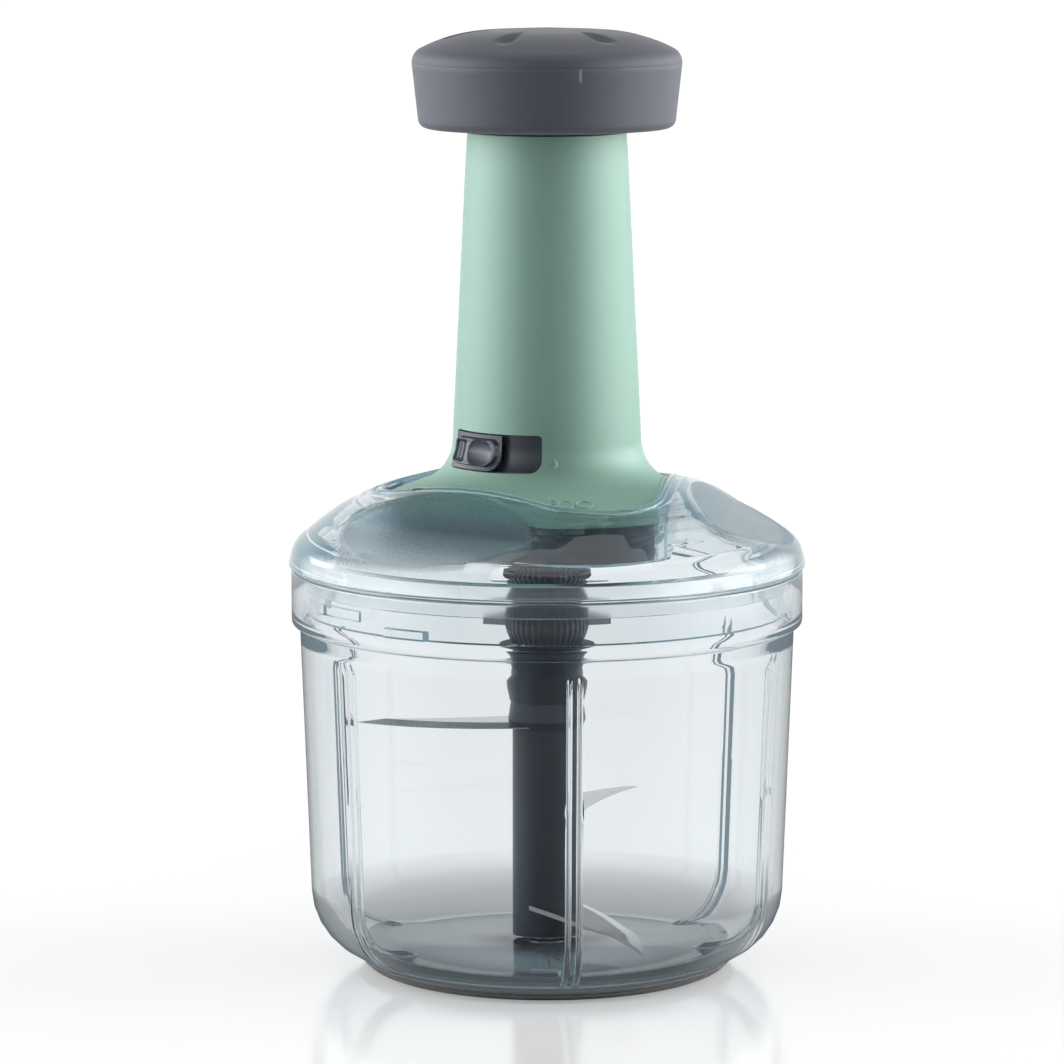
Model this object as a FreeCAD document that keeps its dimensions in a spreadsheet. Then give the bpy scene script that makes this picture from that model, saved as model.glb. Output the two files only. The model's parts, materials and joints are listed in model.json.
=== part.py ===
import FreeCAD, Part
import math
import os
from types import SimpleNamespace
import Sketcher
from FreeCAD import Placement, Rotation, Vector
from Sketcher import Constraint

# Hand food chopper with a push knob. Millimetres, +Z up, origin on the table under the
# middle of the bowl. The lock switch faces -Y.

doc = FreeCAD.newDocument("PushChopper")
sheet = doc.addObject("Spreadsheet::Sheet", "Sizes")

driving_sizes = [
    # bowl
    ("bowl_radius", 63.1, "outside of the bowl wall where it meets the collar"),
    ("bowl_draft", 3.2, "how far the wall draws in from the collar to the underside"),
    ("bowl_wall", 2.3, "wall of the bowl"),
    ("bowl_floor", 2.6, "floor of the bowl"),
    ("bowl_underside", 3.0, "height of the floor's underside above the table"),
    ("bowl_corner", 17.0, "outside radius between wall and floor"),
    ("collar_step", 2.1, "how far the collar stands out of the wall"),
    ("collar_wall", 2.3, "wall of the collar"),
    ("collar_bottom", 88.6, "height of the collar's lower edge"),
    ("collar_depth", 14.3, "collar from lower edge to rim"),
    ("collar_edge", 1.3, "rounding of the collar's lower edge"),
    ("boss_radius", 6.2, "boss round the centre pin"),
    ("boss_rise", 6.0, "boss above the bowl floor"),
    ("rib_turn", -47.6, "angle of the first double rib from +X"),
    ("rib_count", 6, "double ribs inside the bowl"),
    ("rib_width", 4.0, "width over both lips of a rib"),
    ("rib_rise", 1.5, "how far a rib stands off the wall"),
    ("rib_groove", 1.4, "groove between the two lips"),
    ("rib_drop", 6.0, "upper ends of the ribs below the collar"),
    ("bowl_lug_turn", -108.0, "angle of a bowl lug from +X"),
    ("bowl_lug_width", 14.0, "bowl lug, degrees round the collar"),
    ("lug_reach", 1.7, "how far a bowl lug stands in from the collar"),
    ("bowl_lug_rise", 6.9, "underside of the bowl lugs above the collar's lower edge"),
    ("lug_thickness", 2.2, "height of one lug"),
    # base pad and pin
    ("pad_inset", 10.4, "rim of the pad inside the wall line"),
    ("pad_height", 4.8, "pad at its outer rim, where it meets the bowl's corner"),
    ("pad_relief", 1.2, "hollow under the middle of the pad"),
    ("pad_foot", 8.5, "width of the ring that the pad stands on"),
    ("pin_radius", 3.0, "centre pin"),
    ("pin_foot", 4.2, "lower end of the pin in the bowl floor"),
    ("pin_cap", 6.0, "column above the pin"),
    ("running_gap", 0.05, "radial clearance of a running fit"),
    ("open_gap", 0.3, "clearance between parts that pass each other"),
    # blades
    ("column_radius", 8.8, "blade column"),
    ("column_bottom", 7.4, "lower end of the blade column"),
    ("cup_radius", 10.7, "rim of the column's coupling cup"),
    ("cup_drop", 13.1, "rim of the coupling cup below the bowl's collar"),
    ("cup_flare", 5.4, "height of the flare under the rim"),
    ("cup_wall", 2.6, "wall of the coupling cup at its rim"),
    ("cup_depth", 9.5, "depth of the coupling cup"),
    ("cup_foot", 0.7, "how far the flare's foot stands out of the column"),
    ("step_radius", 9.9, "widest line of the collar that holds the upper blade"),
    ("step_drop", 12.3, "lower edge of that collar below the cup's rim"),
    ("step_rise", 2.1, "widest line above that edge"),
    ("step_foot", 0.4, "how far the collar's two edges stand out of the column"),
    ("dog_count", 3, "coupling dogs"),
    ("dog_width", 22.0, "one coupling dog, degrees"),
    ("dog_inner", 6.2, "inner radius of the cup's dogs"),
    ("blade_thickness", 1.2, "blade steel"),
    ("blade_root", 3.8, "inner end of a blade in the column"),
    ("blade_root_width", 15.8, "blade across its root"),
    ("blade_edge_radius", 63.0, "curve of the cutting edge"),
    ("blade_back_radius", 125.0, "curve of the blade's back"),
    ("blade_bevel", 3.4, "ground bevel of the cutting edge"),
    ("blade_gap", 11.9, "blade tips inside the wall line"),
    ("blade_sweep", 1.8, "how far a tip lies behind its root"),
    ("blade_turn", 218.2, "angle of the upper blade from +X"),
    ("blade_spread", 120.0, "each blade is turned back from the one above"),
    ("lower_blade_height", 17.0, "lowest blade at the column"),
    ("lower_blade_tilt", 8.0, "the lowest blade dips towards the floor"),
    ("blade_seat", 0.6, "upper blade above the lower edge of its collar"),
    # lid
    ("lid_overhang", 0.8, "lid's rim beyond the collar"),
    ("lid_gap", 0.7, "seal thickness between collar and lid"),
    ("lid_wall", 2.2, "wall of the lid"),
    ("dome_inner_radius", 20.0, "where the dome's straight top slope is measured"),
    ("dome_rise", 9.8, "height of the dome there above its knee"),
    ("dome_knee_inset", 15.0, "dome turns steeper here, inside the rim"),
    ("dome_knee_rise", 10.9, "height of the knee above the dome's edge"),
    ("dome_knee_curve", 45.0, "rounding of that knee"),
    ("dome_edge_inset", 1.4, "dome turns down here, inside the rim"),
    ("dome_edge_rise", 5.8, "height of the dome's edge above the rim's underside"),
    ("dome_edge_curve", 7.0, "rounding of that edge"),
    ("skirt_gap", 2.0, "space between collar and lid skirt, taken by the seal"),
    ("skirt_wall", 2.0, "wall of the lid skirt"),
    ("skirt_rise", 3.4, "lower edge of the lid skirt above the collar's"),
    ("lid_lug_width", 12.0, "lid lug, degrees"),
    ("lid_lock_turn", 20.0, "turn from unlocked to locked"),
    ("lug_play", 0.9, "lid lugs under the bowl lugs"),
    ("scoop_count", 3, "finger scoops"),
    ("scoop_turn", -90.0, "angle of the first scoop from +X"),
    ("scoop_upper_run", 9.8, "upper face of a scoop, inwards"),
    ("scoop_upper_rise", 8.0, "upper face of a scoop, upwards"),
    ("scoop_inset", 19.7, "crease between a scoop's two faces, inside the rim"),
    ("scoop_sink", 3.3, "crease below the dome's knee"),
    ("scoop_lower_run", 16.4, "lower face of a scoop, outwards"),
    ("scoop_lower_drop", 6.5, "lower face of a scoop, downwards"),
    ("scoop_wall", 2.7, "wall under the scoops"),
    ("socket_mean", 36.2, "mean radius of the lobed socket"),
    ("socket_lobe", 5.5, "how far the three lobes swell and the flats draw in"),
    ("socket_floor_rise", 1.4, "upper face of the socket floor above the rim's underside"),
    ("socket_floor", 2.0, "thickness of the socket floor"),
    ("hub_hole", 12.0, "hole in the socket floor"),
    # housing
    ("guide_length", 23.9, "guide bush in the upper end of the housing"),
    ("tube_top_radius", 20.2, "housing at its upper end"),
    ("tube_draft", 3.7, "housing grows wider by this down to the flare"),
    ("tube_foot_rise", 10.2, "the flare starts this far above its corner"),
    ("flare_step", 0.3, "corner between tube and flare, beyond the tube"),
    ("flare_rise", 10.6, "height of that corner above the housing's lower edge"),
    ("flare_curve", 12.0, "rounding between tube and flare"),
    ("flare_reach", 1.8, "flare turns down here, beyond the socket's mean radius"),
    ("flare_fall", 5.15, "fall of the flare from its corner to that edge"),
    ("flare_edge_curve", 5.0, "rounding of the flare's edge"),
    ("flare_drop", 8.0, "outer slope of the flare, measured inwards to outwards"),
    ("housing_wall", 2.2, "wall of the housing"),
    ("housing_rise", 12.0, "lower edge of the housing above the socket floor"),
    ("socket_play", 0.4, "gap between housing and socket wall"),
    ("slot_middle", -90.5, "angle of the middle of the switch slot"),
    ("slot_width", 67.0, "switch slot, degrees"),
    ("slot_rise", 2.0, "lower edge of the switch slot above the flare's corner"),
    ("slot_height", 9.6, "height of the switch slot"),
    ("screw_inset", 6.2, "circle of the long screws inside the socket's mean radius"),
    ("screw_radius", 1.6, "shank of the long screws"),
    ("screw_head_radius", 3.2, "head of the long screws"),
    ("screw_head", 1.8, "height of a screw head"),
    ("screw_bite", 4.5, "the long screws reach this far into the housing"),
    ("screw_boss_radius", 4.2, "bosses for the long screws"),
    # dark cover in the socket
    ("cover_play", 1.0, "gap between cover and socket wall"),
    ("cover_wall", 2.0, "wall of the cover"),
    ("cover_floor", 2.6, "floor of the cover"),
    ("seat_gap", 0.05, "gap under parts that rest on each other"),
    ("bush_inset", 1.0, "driver bush inside the hole in the socket floor"),
    ("post_inset", 4.0, "posts that carry the bearing plate, inside its rim"),
    ("post_radius", 3.4, "one post"),
    ("plate_radius", 23.0, "bearing plate"),
    ("plate_rise", 1.2, "underside of the bearing plate above the housing's lower edge"),
    ("plate_thickness", 2.0, "bearing plate"),
    ("plate_hole", 5.3, "hole for the spindle"),
    ("plate_screw_radius", 1.3, "shank of the bearing plate's screws"),
    ("plate_screw_length", 8.0, "shank of the bearing plate's screws"),
    # driver
    ("driver_radius", 8.9, "driver shaft"),
    ("driver_flange_radius", 12.5, "flange that hangs the driver on its bush"),
    ("driver_flange", 2.2, "height of that flange"),
    ("shoulder_gap", 0.8, "driver's shoulder above the coupling cup"),
    ("spigot_gap", 1.2, "lower end of the driver above the cup's floor"),
    ("spigot_play", 0.4, "core of the driver's coupling end inside the cup's dogs"),
    ("drip_radius", 12.2, "rim of the driver's drip collar"),
    ("drip_rise", 6.9, "height of that rim above the cup"),
    ("drip_cone", 3.6, "height of the cone under the rim"),
    ("drip_edge", 0.6, "thickness of the rim"),
    ("swell_radius", 10.7, "swelling that carries the vane"),
    ("swell_rise", 12.4, "middle of the swelling above the cup"),
    ("swell_band", 1.6, "flat band of the swelling"),
    ("swell_slope", 4.0, "length of each cone of the swelling"),
    ("vane_turn", 36.0, "angle of the vane from +X"),
    ("vane_reach", 16.4, "tips of the vane"),
    ("vane_width", 5.6, "vane across its middle"),
    ("vane_thickness", 0.8, "vane"),
    ("tooth_count", 6, "one-way teeth"),
    ("tooth_rise", 1.2, "height of the one-way teeth"),
    ("tooth_width", 24.0, "one tooth, degrees"),
    ("tooth_length", 3.4, "radial length of a tooth"),
    # spindle
    ("hub_radius", 12.2, "spindle hub"),
    ("hub_play", 0.4, "spindle hub under the bearing plate"),
    ("strip_width", 9.0, "spindle strip"),
    ("strip_thickness", 2.0, "spindle strip"),
    ("strip_spare", 2.0, "strip above the drive nut when the knob is up"),
    ("strip_lead", 40.0, "rise of the strip in one turn"),
    # plunger
    ("stroke", 62.0, "travel of the knob"),
    ("guide_ring", 2.0, "ring between the housing and the plunger tube"),
    ("plunger_wall", 2.7, "wall of the plunger tube"),
    ("plunger_play", 0.5, "plunger above the bearing plate's screws when it is down"),
    ("foot_step", 1.8, "foot flange of the plunger, beyond its tube"),
    ("foot_height", 4.0, "foot flange of the plunger"),
    ("web_thickness", 3.0, "closed top of the plunger tube"),
    ("key_count", 3, "keys that keep the plunger from turning"),
    ("key_width", 14.0, "one key of the guide bush, degrees"),
    ("groove_width", 16.0, "one groove of the plunger tube, degrees"),
    ("groove_depth", 1.4, "depth of the grooves"),
    ("guide_wall", 1.9, "wall of the guide bush"),
    ("nut_pocket", 8.6, "spring pocket in the drive nut"),
    ("nut_rise", 13.5, "underside of the nut's slotted web above the plunger's end"),
    ("nut_web", 6.0, "thickness of the slotted web"),
    ("nut_gap", 0.25, "play of the strip in the nut"),
    ("spring_wire", 1.0, "return spring wire"),
    ("spring_radius", 7.2, "mean radius of the return spring"),
    ("spring_coils", 8, "coils of the return spring"),
    # knob
    ("crown_rise", 9.0, "crown of the knob above its parting line"),
    ("knob_gap", 1.9, "knob above the housing when it is down"),
    ("knob_radius", 34.1, "knob at its parting line"),
    ("knob_side_height", 16.2, "parting line above the knob's lower edge"),
    ("knob_taper", 1.8, "knob draws in from the parting line to its lower edge"),
    ("knob_shoulder_inset", 8.1, "crown turns down here, inside the parting line"),
    ("crown_fall", 1.1, "fall of the crown to its shoulder"),
    ("knob_shoulder_curve", 22.0, "rounding of the crown"),
    ("knob_foot_curve", 2.4, "rounding of the lower edge"),
    ("knob_lip", 3.2, "width of the grip's lower lip"),
    ("grip_wall", 2.4, "soft grip over the core"),
    ("dimple_count", 6, "dimples in the crown"),
    ("dimple_inset", 9.9, "circle of the dimples inside the parting line"),
    ("dimple_ball", 9.0, "radius of the ball that forms a dimple"),
    ("dimple_depth", 1.5, "depth of a dimple below the crown's slope"),
    ("dimple_turn", -78.0, "angle of the first dimple from +X"),
    ("core_wall", 2.0, "walls of the knob core"),
    ("core_boss", 6.5, "boss for the knob screw"),
    ("knob_screw_radius", 2.0, "shank of the knob screw"),
    ("knob_screw_length", 12.0, "shank of the knob screw"),
    # lock switch
    ("button_width", 41.0, "switch button, degrees"),
    ("button_play", 1.0, "gap at each end of the button's travel, degrees"),
    ("button_proud", 1.1, "how far the button stands out of the housing"),
    ("button_rim", 0.35, "gap above and below the button"),
    ("stem_width", 10.0, "stem of the button, degrees"),
    ("stem_height", 3.0, "stem of the button"),
    ("track_margin", 5.0, "track beyond the slot's ends, degrees"),
    ("latch_wall", 2.0, "wall of the latch plate"),
    ("latch_thickness", 3.0, "latch nose"),
    ("latch_width", 20.0, "latch nose, degrees"),
]


class Size:
    # A number from the sheet, or one worked out from several: its value and its expression.
    def __init__(self, value, text):
        self.value = value
        self.text = text

    def __add__(self, other):
        other = size(other)
        return Size(self.value + other.value, "(%s + %s)" % (self.text, other.text))

    def __radd__(self, other):
        return size(other) + self

    def __sub__(self, other):
        other = size(other)
        return Size(self.value - other.value, "(%s - %s)" % (self.text, other.text))

    def __rsub__(self, other):
        return size(other) - self

    def __mul__(self, other):
        other = size(other)
        return Size(self.value * other.value, "(%s * %s)" % (self.text, other.text))

    def __rmul__(self, other):
        return size(other) * self

    def __truediv__(self, other):
        other = size(other)
        return Size(self.value / other.value, "(%s / %s)" % (self.text, other.text))

    def __neg__(self):
        return 0 - self

    def __float__(self):
        return float(self.value)


def size(number):
    if isinstance(number, Size):
        return number
    return Size(float(number), repr(float(number)))


def root(number):
    return Size(math.sqrt(number.value), "sqrt(%s)" % number.text)


for row, (name, number, note) in enumerate(driving_sizes, 1):
    sheet.set("A%d" % row, name)
    sheet.set("B%d" % row, str(number))
    sheet.set("C%d" % row, note)
    sheet.setAlias("B%d" % row, name)
doc.recompute()
s = SimpleNamespace(**{name: Size(float(getattr(sheet, name)), "Sizes." + name)
                       for name, number, note in driving_sizes})


# ---- sizes that follow from the driving ones

s.bowl_base_radius = s.bowl_radius - s.bowl_draft
s.collar_radius = s.bowl_radius + s.collar_step
s.collar_top = s.collar_bottom + s.collar_depth
s.collar_bore = s.collar_radius - s.collar_wall
s.bowl_bore = s.bowl_radius - s.bowl_wall
s.floor_top = s.bowl_underside + s.bowl_floor
s.floor_bore = s.bowl_base_radius - s.bowl_wall
s.boss_top = s.floor_top + s.boss_rise
s.rib_top = s.collar_bottom - s.rib_drop
s.bowl_lug_bottom = s.collar_bottom + s.bowl_lug_rise
s.pad_radius = s.bowl_base_radius - s.pad_inset

s.cup_top = s.collar_bottom - s.cup_drop
s.cup_bottom = s.cup_top - s.cup_depth
s.cup_bore = s.cup_radius - s.cup_wall
s.pin_top = s.cup_bottom - s.pin_cap
s.step_bottom = s.cup_top - s.step_drop
s.upper_blade_height = s.step_bottom + s.blade_seat
s.middle_blade_height = (s.upper_blade_height + s.lower_blade_height) / 2
s.blade_reach = s.bowl_base_radius - s.blade_gap

s.lid_radius = s.collar_radius + s.lid_overhang
s.rim_bottom = s.collar_top + s.lid_gap
s.skirt_outer = s.collar_bore - s.skirt_gap
s.skirt_bore = s.skirt_outer - s.skirt_wall
s.skirt_bottom = s.collar_bottom + s.skirt_rise
s.lid_lug_bottom = s.bowl_lug_bottom - s.lug_thickness - s.lug_play
s.dome_edge_radius = s.lid_radius - s.dome_edge_inset
s.dome_edge_height = s.rim_bottom + s.dome_edge_rise
s.dome_knee_radius = s.lid_radius - s.dome_knee_inset
s.dome_knee_height = s.dome_edge_height + s.dome_knee_rise
s.dome_inner_height = s.dome_knee_height + s.dome_rise
s.scoop_crease_radius = s.lid_radius - s.scoop_inset
s.scoop_crease_height = s.dome_knee_height - s.scoop_sink
s.socket_floor_height = s.rim_bottom + s.socket_floor_rise
s.socket_floor_bottom = s.socket_floor_height - s.socket_floor

s.housing_bottom = s.socket_floor_height + s.housing_rise
s.flare_corner_height = s.housing_bottom + s.flare_rise
s.flare_edge_radius = s.socket_mean + s.flare_reach
s.flare_edge_height = s.flare_corner_height - s.flare_fall
s.tube_foot_radius = s.tube_top_radius + s.tube_draft
s.tube_foot = s.flare_corner_height + s.tube_foot_rise
s.flare_corner_radius = s.tube_foot_radius + s.flare_step
s.slot_bottom = s.flare_corner_height + s.slot_rise
s.screw_circle = s.socket_mean - s.screw_inset
s.screw_top = s.housing_bottom + s.screw_bite
s.plate_bottom = s.housing_bottom + s.plate_rise
s.plate_top = s.plate_bottom + s.plate_thickness
s.post_circle = s.plate_radius - s.post_inset
s.bush_outer = s.hub_hole - s.bush_inset

s.driver_shoulder = s.cup_top + s.shoulder_gap
s.driver_bottom = s.cup_bottom + s.spigot_gap
s.spigot_radius = s.dog_inner - s.spigot_play
s.key_radius = s.cup_bore - s.open_gap
s.drip_height = s.cup_top + s.drip_rise
s.swell_height = s.cup_top + s.swell_rise
s.flange_bottom = (s.socket_floor_height + s.seat_gap + s.cover_floor + s.plate_thickness / 2
                   + s.seat_gap)
s.driver_top = s.flange_bottom + s.driver_flange
s.hub_bottom = s.driver_top + s.tooth_rise + s.open_gap
s.hub_top = s.plate_bottom - s.hub_play
s.strip_bottom = s.hub_bottom + s.tooth_rise

s.plunger_bottom = s.plate_top + s.screw_head + s.plunger_play
s.plunger_radius = s.tube_top_radius - s.housing_wall - s.guide_ring
s.plunger_bore = s.plunger_radius - s.plunger_wall
s.foot_top = s.plunger_bottom + s.foot_height
s.foot_radius = s.plunger_radius + s.foot_step
s.groove_floor = s.plunger_radius - s.groove_depth
s.guide_bottom = s.foot_top + s.stroke + s.open_gap
s.guide_outer = s.tube_top_radius - s.housing_wall - s.running_gap
s.tube_top = s.guide_bottom + s.guide_length
s.nut_web_bottom = s.plunger_bottom + s.nut_rise
s.nut_top = s.nut_web_bottom + s.nut_web
s.strip_top = s.nut_top + s.stroke + s.strip_spare

s.knob_bottom = s.tube_top + s.knob_gap
s.knob_seam = s.knob_bottom + s.knob_side_height
s.knob_top = s.knob_seam + s.crown_rise
s.knob_foot_radius = s.knob_radius - s.knob_taper
s.knob_shoulder_radius = s.knob_radius - s.knob_shoulder_inset
s.knob_shoulder_height = s.knob_top - s.crown_fall
s.dimple_circle = s.knob_radius - s.dimple_inset
s.plunger_top = s.knob_bottom + s.grip_wall * 1.5

s.button_middle = s.slot_middle - s.slot_width / 2 + s.button_width / 2 + s.button_play
s.stem_middle = s.button_middle - s.button_width / 2 + s.stem_width
s.switch_travel = s.slot_width - s.button_width - s.button_play * 2
s.latch_inner = s.foot_radius + s.open_gap
s.latch_outer = s.latch_inner + s.latch_wall
s.latch_bottom = s.foot_top + s.open_gap
s.track_inner = s.latch_outer + s.open_gap


# ---- sketches and features

def bind(thing, where, number):
    thing.setExpression(where, size(number).text)


def new_body(name):
    return doc.addObject("PartDesign::Body", name)


def new_sketch(body, name, plane, lift=0, turn=0):
    # On XZ_Plane x is the radius and y the height, and turn swings the plane about +Z.
    # On XY_Plane lift is the height.
    sketch = body.newObject("Sketcher::SketchObject", name)
    base = [piece for piece in body.Origin.OriginFeatures if piece.Role == plane][0]
    sketch.AttachmentSupport = [(base, "")]
    sketch.MapMode = "FlatFace"
    swing = Vector(0, 1, 0) if plane == "XZ_Plane" else Vector(0, 0, 1)
    sketch.AttachmentOffset = Placement(Vector(0, 0, float(size(lift))),
                                        Rotation(swing, float(size(turn))))
    if isinstance(lift, Size):
        bind(sketch, "AttachmentOffset.Base.z", lift)
    if isinstance(turn, Size):
        bind(sketch, "AttachmentOffset.Rotation.Angle", turn)
    return sketch


def lock(sketch, geometry, end, x, y):
    for way, number in (("DistanceX", x), ("DistanceY", y)):
        number = size(number)
        index = sketch.addConstraint(Constraint(way, -1, 1, geometry, end, number.value))
        if number.text[0] in "(Ss":
            bind(sketch, "Constraints[%d]" % index, number)


def outline(sketch, corners):
    # A closed outline of straight lines. A corner is (x, y), or (x, y, rounding radius).
    points = [Vector(float(size(c[0])), float(size(c[1])), 0) for c in corners]
    count = len(corners)
    starts, ends, arcs = [], [], []
    for i, corner in enumerate(corners):
        here = points[i]
        if len(corner) == 2:
            starts.append(here)
            ends.append(here)
            arcs.append(None)
            continue
        back = (points[i - 1] - here).normalize()
        ahead = (points[(i + 1) % count] - here).normalize()
        half = back.getAngle(ahead) / 2
        radius = float(size(corner[2]))
        centre = here + (back + ahead).normalize() * (radius / math.sin(half))
        first = here + back * (radius / math.tan(half))
        last = here + ahead * (radius / math.tan(half))
        left_turn = (-back).cross(ahead).z > 0
        begin, finish = (first, last) if left_turn else (last, first)
        angle = [math.atan2(p.y - centre.y, p.x - centre.x) for p in (begin, finish)]
        circle = Part.Circle(centre, Vector(0, 0, 1), radius)
        arcs.append((Part.ArcOfCircle(circle, angle[0], angle[1]), left_turn))
        ends.append(first)
        starts.append(last)
    for i in range(count):
        sketch.addGeometry(Part.LineSegment(starts[i], ends[(i + 1) % count]), False)
    for i, corner in enumerate(corners):
        before = (i - 1) % count
        if arcs[i] is None:
            sketch.addConstraint(Constraint("Coincident", before, 2, i, 1))
            lock(sketch, i, 1, corner[0], corner[1])
            continue
        arc, left_turn = arcs[i]
        bend = sketch.addGeometry(arc, False)
        begin, finish = (1, 2) if left_turn else (2, 1)
        sketch.addConstraint(Constraint("Tangent", before, 2, bend, begin))
        sketch.addConstraint(Constraint("Tangent", i, 1, bend, finish))
        index = sketch.addConstraint(Constraint("Radius", bend, float(size(corner[2]))))
        bind(sketch, "Constraints[%d]" % index, corner[2])
        tip = sketch.addGeometry(Part.Point(points[i]), True)
        sketch.addConstraint(Constraint("PointOnObject", tip, 1, before))
        sketch.addConstraint(Constraint("PointOnObject", tip, 1, i))
        lock(sketch, tip, 1, corner[0], corner[1])
    return sketch


def box_outline(sketch, x0, y0, x1, y1):
    return outline(sketch, [(x0, y0), (x1, y0), (x1, y1), (x0, y1)])


def turned(body, name, sketch, angle=None, cut=False):
    # Turned about +Z all the way, or by an angle that is centred on the sketch.
    kind = "PartDesign::Groove" if cut else "PartDesign::Revolution"
    feature = body.newObject(kind, name)
    feature.Profile = sketch
    feature.ReferenceAxis = (sketch, ["V_Axis"])
    if angle is None:
        feature.Angle = 360
    else:
        feature.Midplane = True
        bind(feature, "Angle", angle)
    body.Tip = feature
    return feature


def padded(body, name, sketch, length, both_ways=False, cut=False):
    feature = body.newObject("PartDesign::Pocket" if cut else "PartDesign::Pad", name)
    feature.Profile = sketch
    feature.Midplane = both_ways
    bind(feature, "Length", length)
    body.Tip = feature
    return feature


def round_pattern(body, name, features, sketch, count):
    feature = body.newObject("PartDesign::PolarPattern", name)
    feature.Originals = features
    feature.Axis = (sketch, ["V_Axis"])
    feature.Angle = 360
    bind(feature, "Occurrences", count)
    body.Tip = feature
    return feature


def turned_body(name, corners):
    body = new_body(name)
    turned(body, name + "_turned", outline(new_sketch(body, name + "_outline", "XZ_Plane"), corners))
    return body


def sector(body, name, r0, z0, r1, z1, middle, width, cut=False, count=None):
    # A piece of a ring, r0 to r1 and z0 to z1, centred on an angle from +X.
    sketch = box_outline(new_sketch(body, name + "_outline", "XZ_Plane", 0, middle), r0, z0, r1, z1)
    feature = turned(body, name, sketch, width, cut)
    if count is None:
        return feature
    return round_pattern(body, name + "_ring", [feature], sketch, count)


def rod(name, radius, bottom, top, circle=None, turn=0):
    # An upright cylinder, on the axis or on a circle round it.
    piece = doc.addObject("Part::Cylinder", name)
    bind(piece, "Radius", radius)
    bind(piece, "Height", top - bottom)
    bind(piece, "Placement.Base.z", bottom)
    if circle is not None:
        bind(piece, "Placement.Base.x", circle * Size(math.cos(math.radians(turn)), "cos(%s deg)" % turn))
        bind(piece, "Placement.Base.y", circle * Size(math.sin(math.radians(turn)), "sin(%s deg)" % turn))
    return piece


def joined(name, pieces):
    piece = doc.addObject("Part::MultiFuse", name)
    piece.Shapes = pieces
    return piece


def cut_from(name, base, tool):
    piece = doc.addObject("Part::Cut", name)
    piece.Base = base
    piece.Tool = tool
    return piece


def shared(name, pieces):
    piece = doc.addObject("Part::MultiCommon", name)
    piece.Shapes = pieces
    return piece


lobe_turns = (-30, 90, 210)


def rods(name, radius, bottom, top, circle, turns=lobe_turns):
    return joined(name, [rod("%s_%d" % (name, i), radius, bottom, top, circle, turn)
                         for i, turn in enumerate(turns, 1)])


def lobed_curve(grow):
    # Six arcs that meet tangentially: a flat's arc and a lobe's arc share a half lobe between
    # them as a biarc, and growing moves every arc along its own radius.
    flat = Vector(float(s.socket_mean - s.socket_lobe), 0, 0)
    spread = math.pi / float(s.scoop_count)
    ahead = Vector(math.cos(spread), math.sin(spread), 0)
    lobe = ahead * float(s.socket_mean + s.socket_lobe)
    start, finish = Vector(0, 1, 0), Vector(0, 0, 1).cross(ahead)
    chord, both = lobe - flat, start + finish
    turn = 2 * (1 - start.dot(finish))
    reach = (math.sqrt(chord.dot(both) ** 2 + turn * chord.dot(chord)) - chord.dot(both)) / turn
    join = (flat + start * reach + lobe - finish * reach) / 2
    gap = lobe - join
    centre = lobe - ahead * (gap.dot(gap) / (2 * gap.dot(ahead)))
    grow = float(size(grow))
    join += (join - centre).normalize() * grow
    swing = math.radians(float(s.scoop_turn))
    beside = math.atan2(join.y, join.x)

    def at(radius, angle):
        return Vector(radius * math.cos(angle + swing), radius * math.sin(angle + swing), 0)

    arcs = []
    for i in range(int(float(s.scoop_count))):
        middle = 2 * spread * i
        arcs.append(Part.Arc(at(join.Length, middle - beside), at(flat.Length + grow, middle),
                             at(join.Length, middle + beside)))
        arcs.append(Part.Arc(at(join.Length, middle + beside), at(lobe.Length + grow, middle + spread),
                             at(join.Length, middle + 2 * spread - beside)))
    return Part.Wire([arc.toShape() for arc in arcs])


def lobed_block(name, grow, bottom, top):
    # Prism on the lobed outline of the lid socket: its flats face the scoops.
    flat = doc.addObject("Part::Feature", name + "_outline")
    flat.Shape = lobed_curve(grow)
    bind(flat, "Placement.Base.z", bottom)
    block = doc.addObject("Part::Extrusion", name)
    block.Base = flat
    block.DirMode = "Custom"
    block.Dir = Vector(0, 0, 1)
    block.Solid = True
    bind(block, "LengthFwd", top - bottom)
    return block


# ---- bowl, pin and pad

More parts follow.
